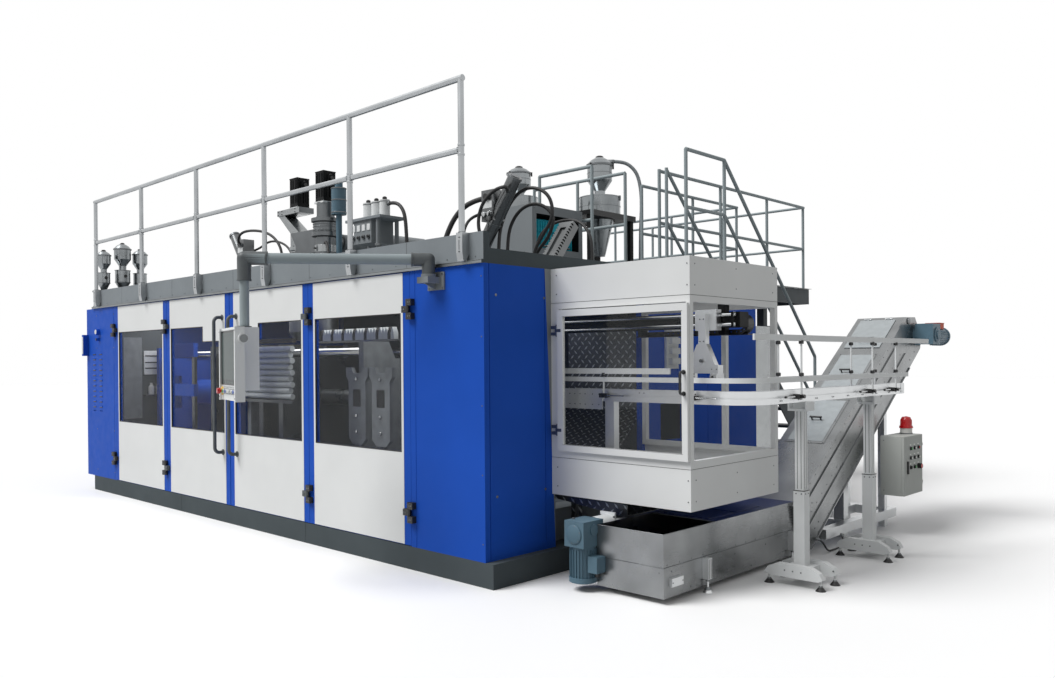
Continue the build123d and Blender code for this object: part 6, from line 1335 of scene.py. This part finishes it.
class MOULDING_OT_finishes(bpy.types.Operator):
    """Gives every solid its finish"""
    bl_idname = "moulding.finishes"
    bl_label = "Finishes"

    def execute(self, context):
        make_materials(context.scene.moulding_look)
        for name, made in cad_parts.items():
            finish_solid(name, made)
        return {"FINISHED"}


class MOULDING_OT_hoses(bpy.types.Operator):
    """Adds the hoses of the roof and the cable on the floor"""
    bl_idname = "moulding.hoses"
    bl_label = "Hoses"

    def execute(self, context):
        hoses()
        return {"FINISHED"}


class MOULDING_OT_front(bpy.types.Operator):
    """Adds the fittings of the doors, cabinet, end panel, rail and roof edge, and what shows behind the windows"""
    bl_idname = "moulding.front"
    bl_label = "Front fittings"

    def execute(self, context):
        for build in (door_gaskets, hinge_screws, handle_feet, cabinet_fittings, end_fittings, rail_fittings,
                      roof_edge_fittings, inside_fittings):
            build()
        return {"FINISHED"}


class MOULDING_OT_panel(bpy.types.Operator):
    """Adds the screen and buttons of the operator panel and the fittings of its arm"""
    bl_idname = "moulding.panel"
    bl_label = "Operator panel"

    def execute(self, context):
        operator_panel()
        arm_fittings()
        return {"FINISHED"}


class MOULDING_OT_cage(bpy.types.Operator):
    """Adds the fittings of the cage, the picker and the outfeed"""
    bl_idname = "moulding.cage"
    bl_label = "Cage and outfeed"

    def execute(self, context):
        for build in (cage_fittings, picker_fittings, chain_pins, conveyor_fittings, stand_fittings):
            build()
        return {"FINISHED"}


class MOULDING_OT_scrap(bpy.types.Operator):
    """Adds the fittings of the scrap tray, the drives, the incline and the control box"""
    bl_idname = "moulding.scrap"
    bl_label = "Scrap line"

    def execute(self, context):
        for build in (tray_fittings, drive_fittings, incline_fittings, box_fittings):
            build()
        return {"FINISHED"}


class MOULDING_OT_roof(bpy.types.Operator):
    """Adds the fittings of the equipment on the roof"""
    bl_idname = "moulding.roof"
    bl_label = "Roof equipment"

    def execute(self, context):
        for build in (servo_fittings, head_fittings, cylinder_fittings, unit_fittings, hopper_fittings,
                      doser_fittings, gallery_fittings):
            build()
        return {"FINISHED"}


OPERATORS = (MOULDING_OT_stage, MOULDING_OT_finishes, MOULDING_OT_hoses, MOULDING_OT_front, MOULDING_OT_panel,
             MOULDING_OT_cage, MOULDING_OT_scrap, MOULDING_OT_roof)


class MOULDING_PT_sidebar(bpy.types.Panel):
    """The properties of both groups and a button for each operator"""
    bl_idname = "MOULDING_PT_sidebar"
    bl_label = "Moulding machine"
    bl_space_type = "VIEW_3D"
    bl_region_type = "UI"
    bl_category = "Moulding"

    def draw(self, context):
        for group in (context.scene.moulding_look, context.scene.moulding_stage):
            for key in group.__annotations__:
                self.layout.prop(group, key)
        for operator in OPERATORS:
            self.layout.operator(operator.bl_idname)


CLASSES = (MouldingLook, MouldingStage) + OPERATORS + (MOULDING_PT_sidebar,)


def register():
    """Registers the classes and adds both groups to the scene."""
    for made in CLASSES:
        bpy.utils.register_class(made)
    bpy.types.Scene.moulding_look = PointerProperty(type=MouldingLook)
    bpy.types.Scene.moulding_stage = PointerProperty(type=MouldingStage)


def unregister():
    """Takes away what register added."""
    del bpy.types.Scene.moulding_stage
    del bpy.types.Scene.moulding_look
    for made in reversed(CLASSES):
        bpy.utils.unregister_class(made)


def main():
    """Builds everything."""
    register()
    for operator in OPERATORS:
        group, name = operator.bl_idname.split(".")
        getattr(getattr(bpy.ops, group), name)()
    bpy.context.view_layer.update()


if __name__ == "__main__":
    main()
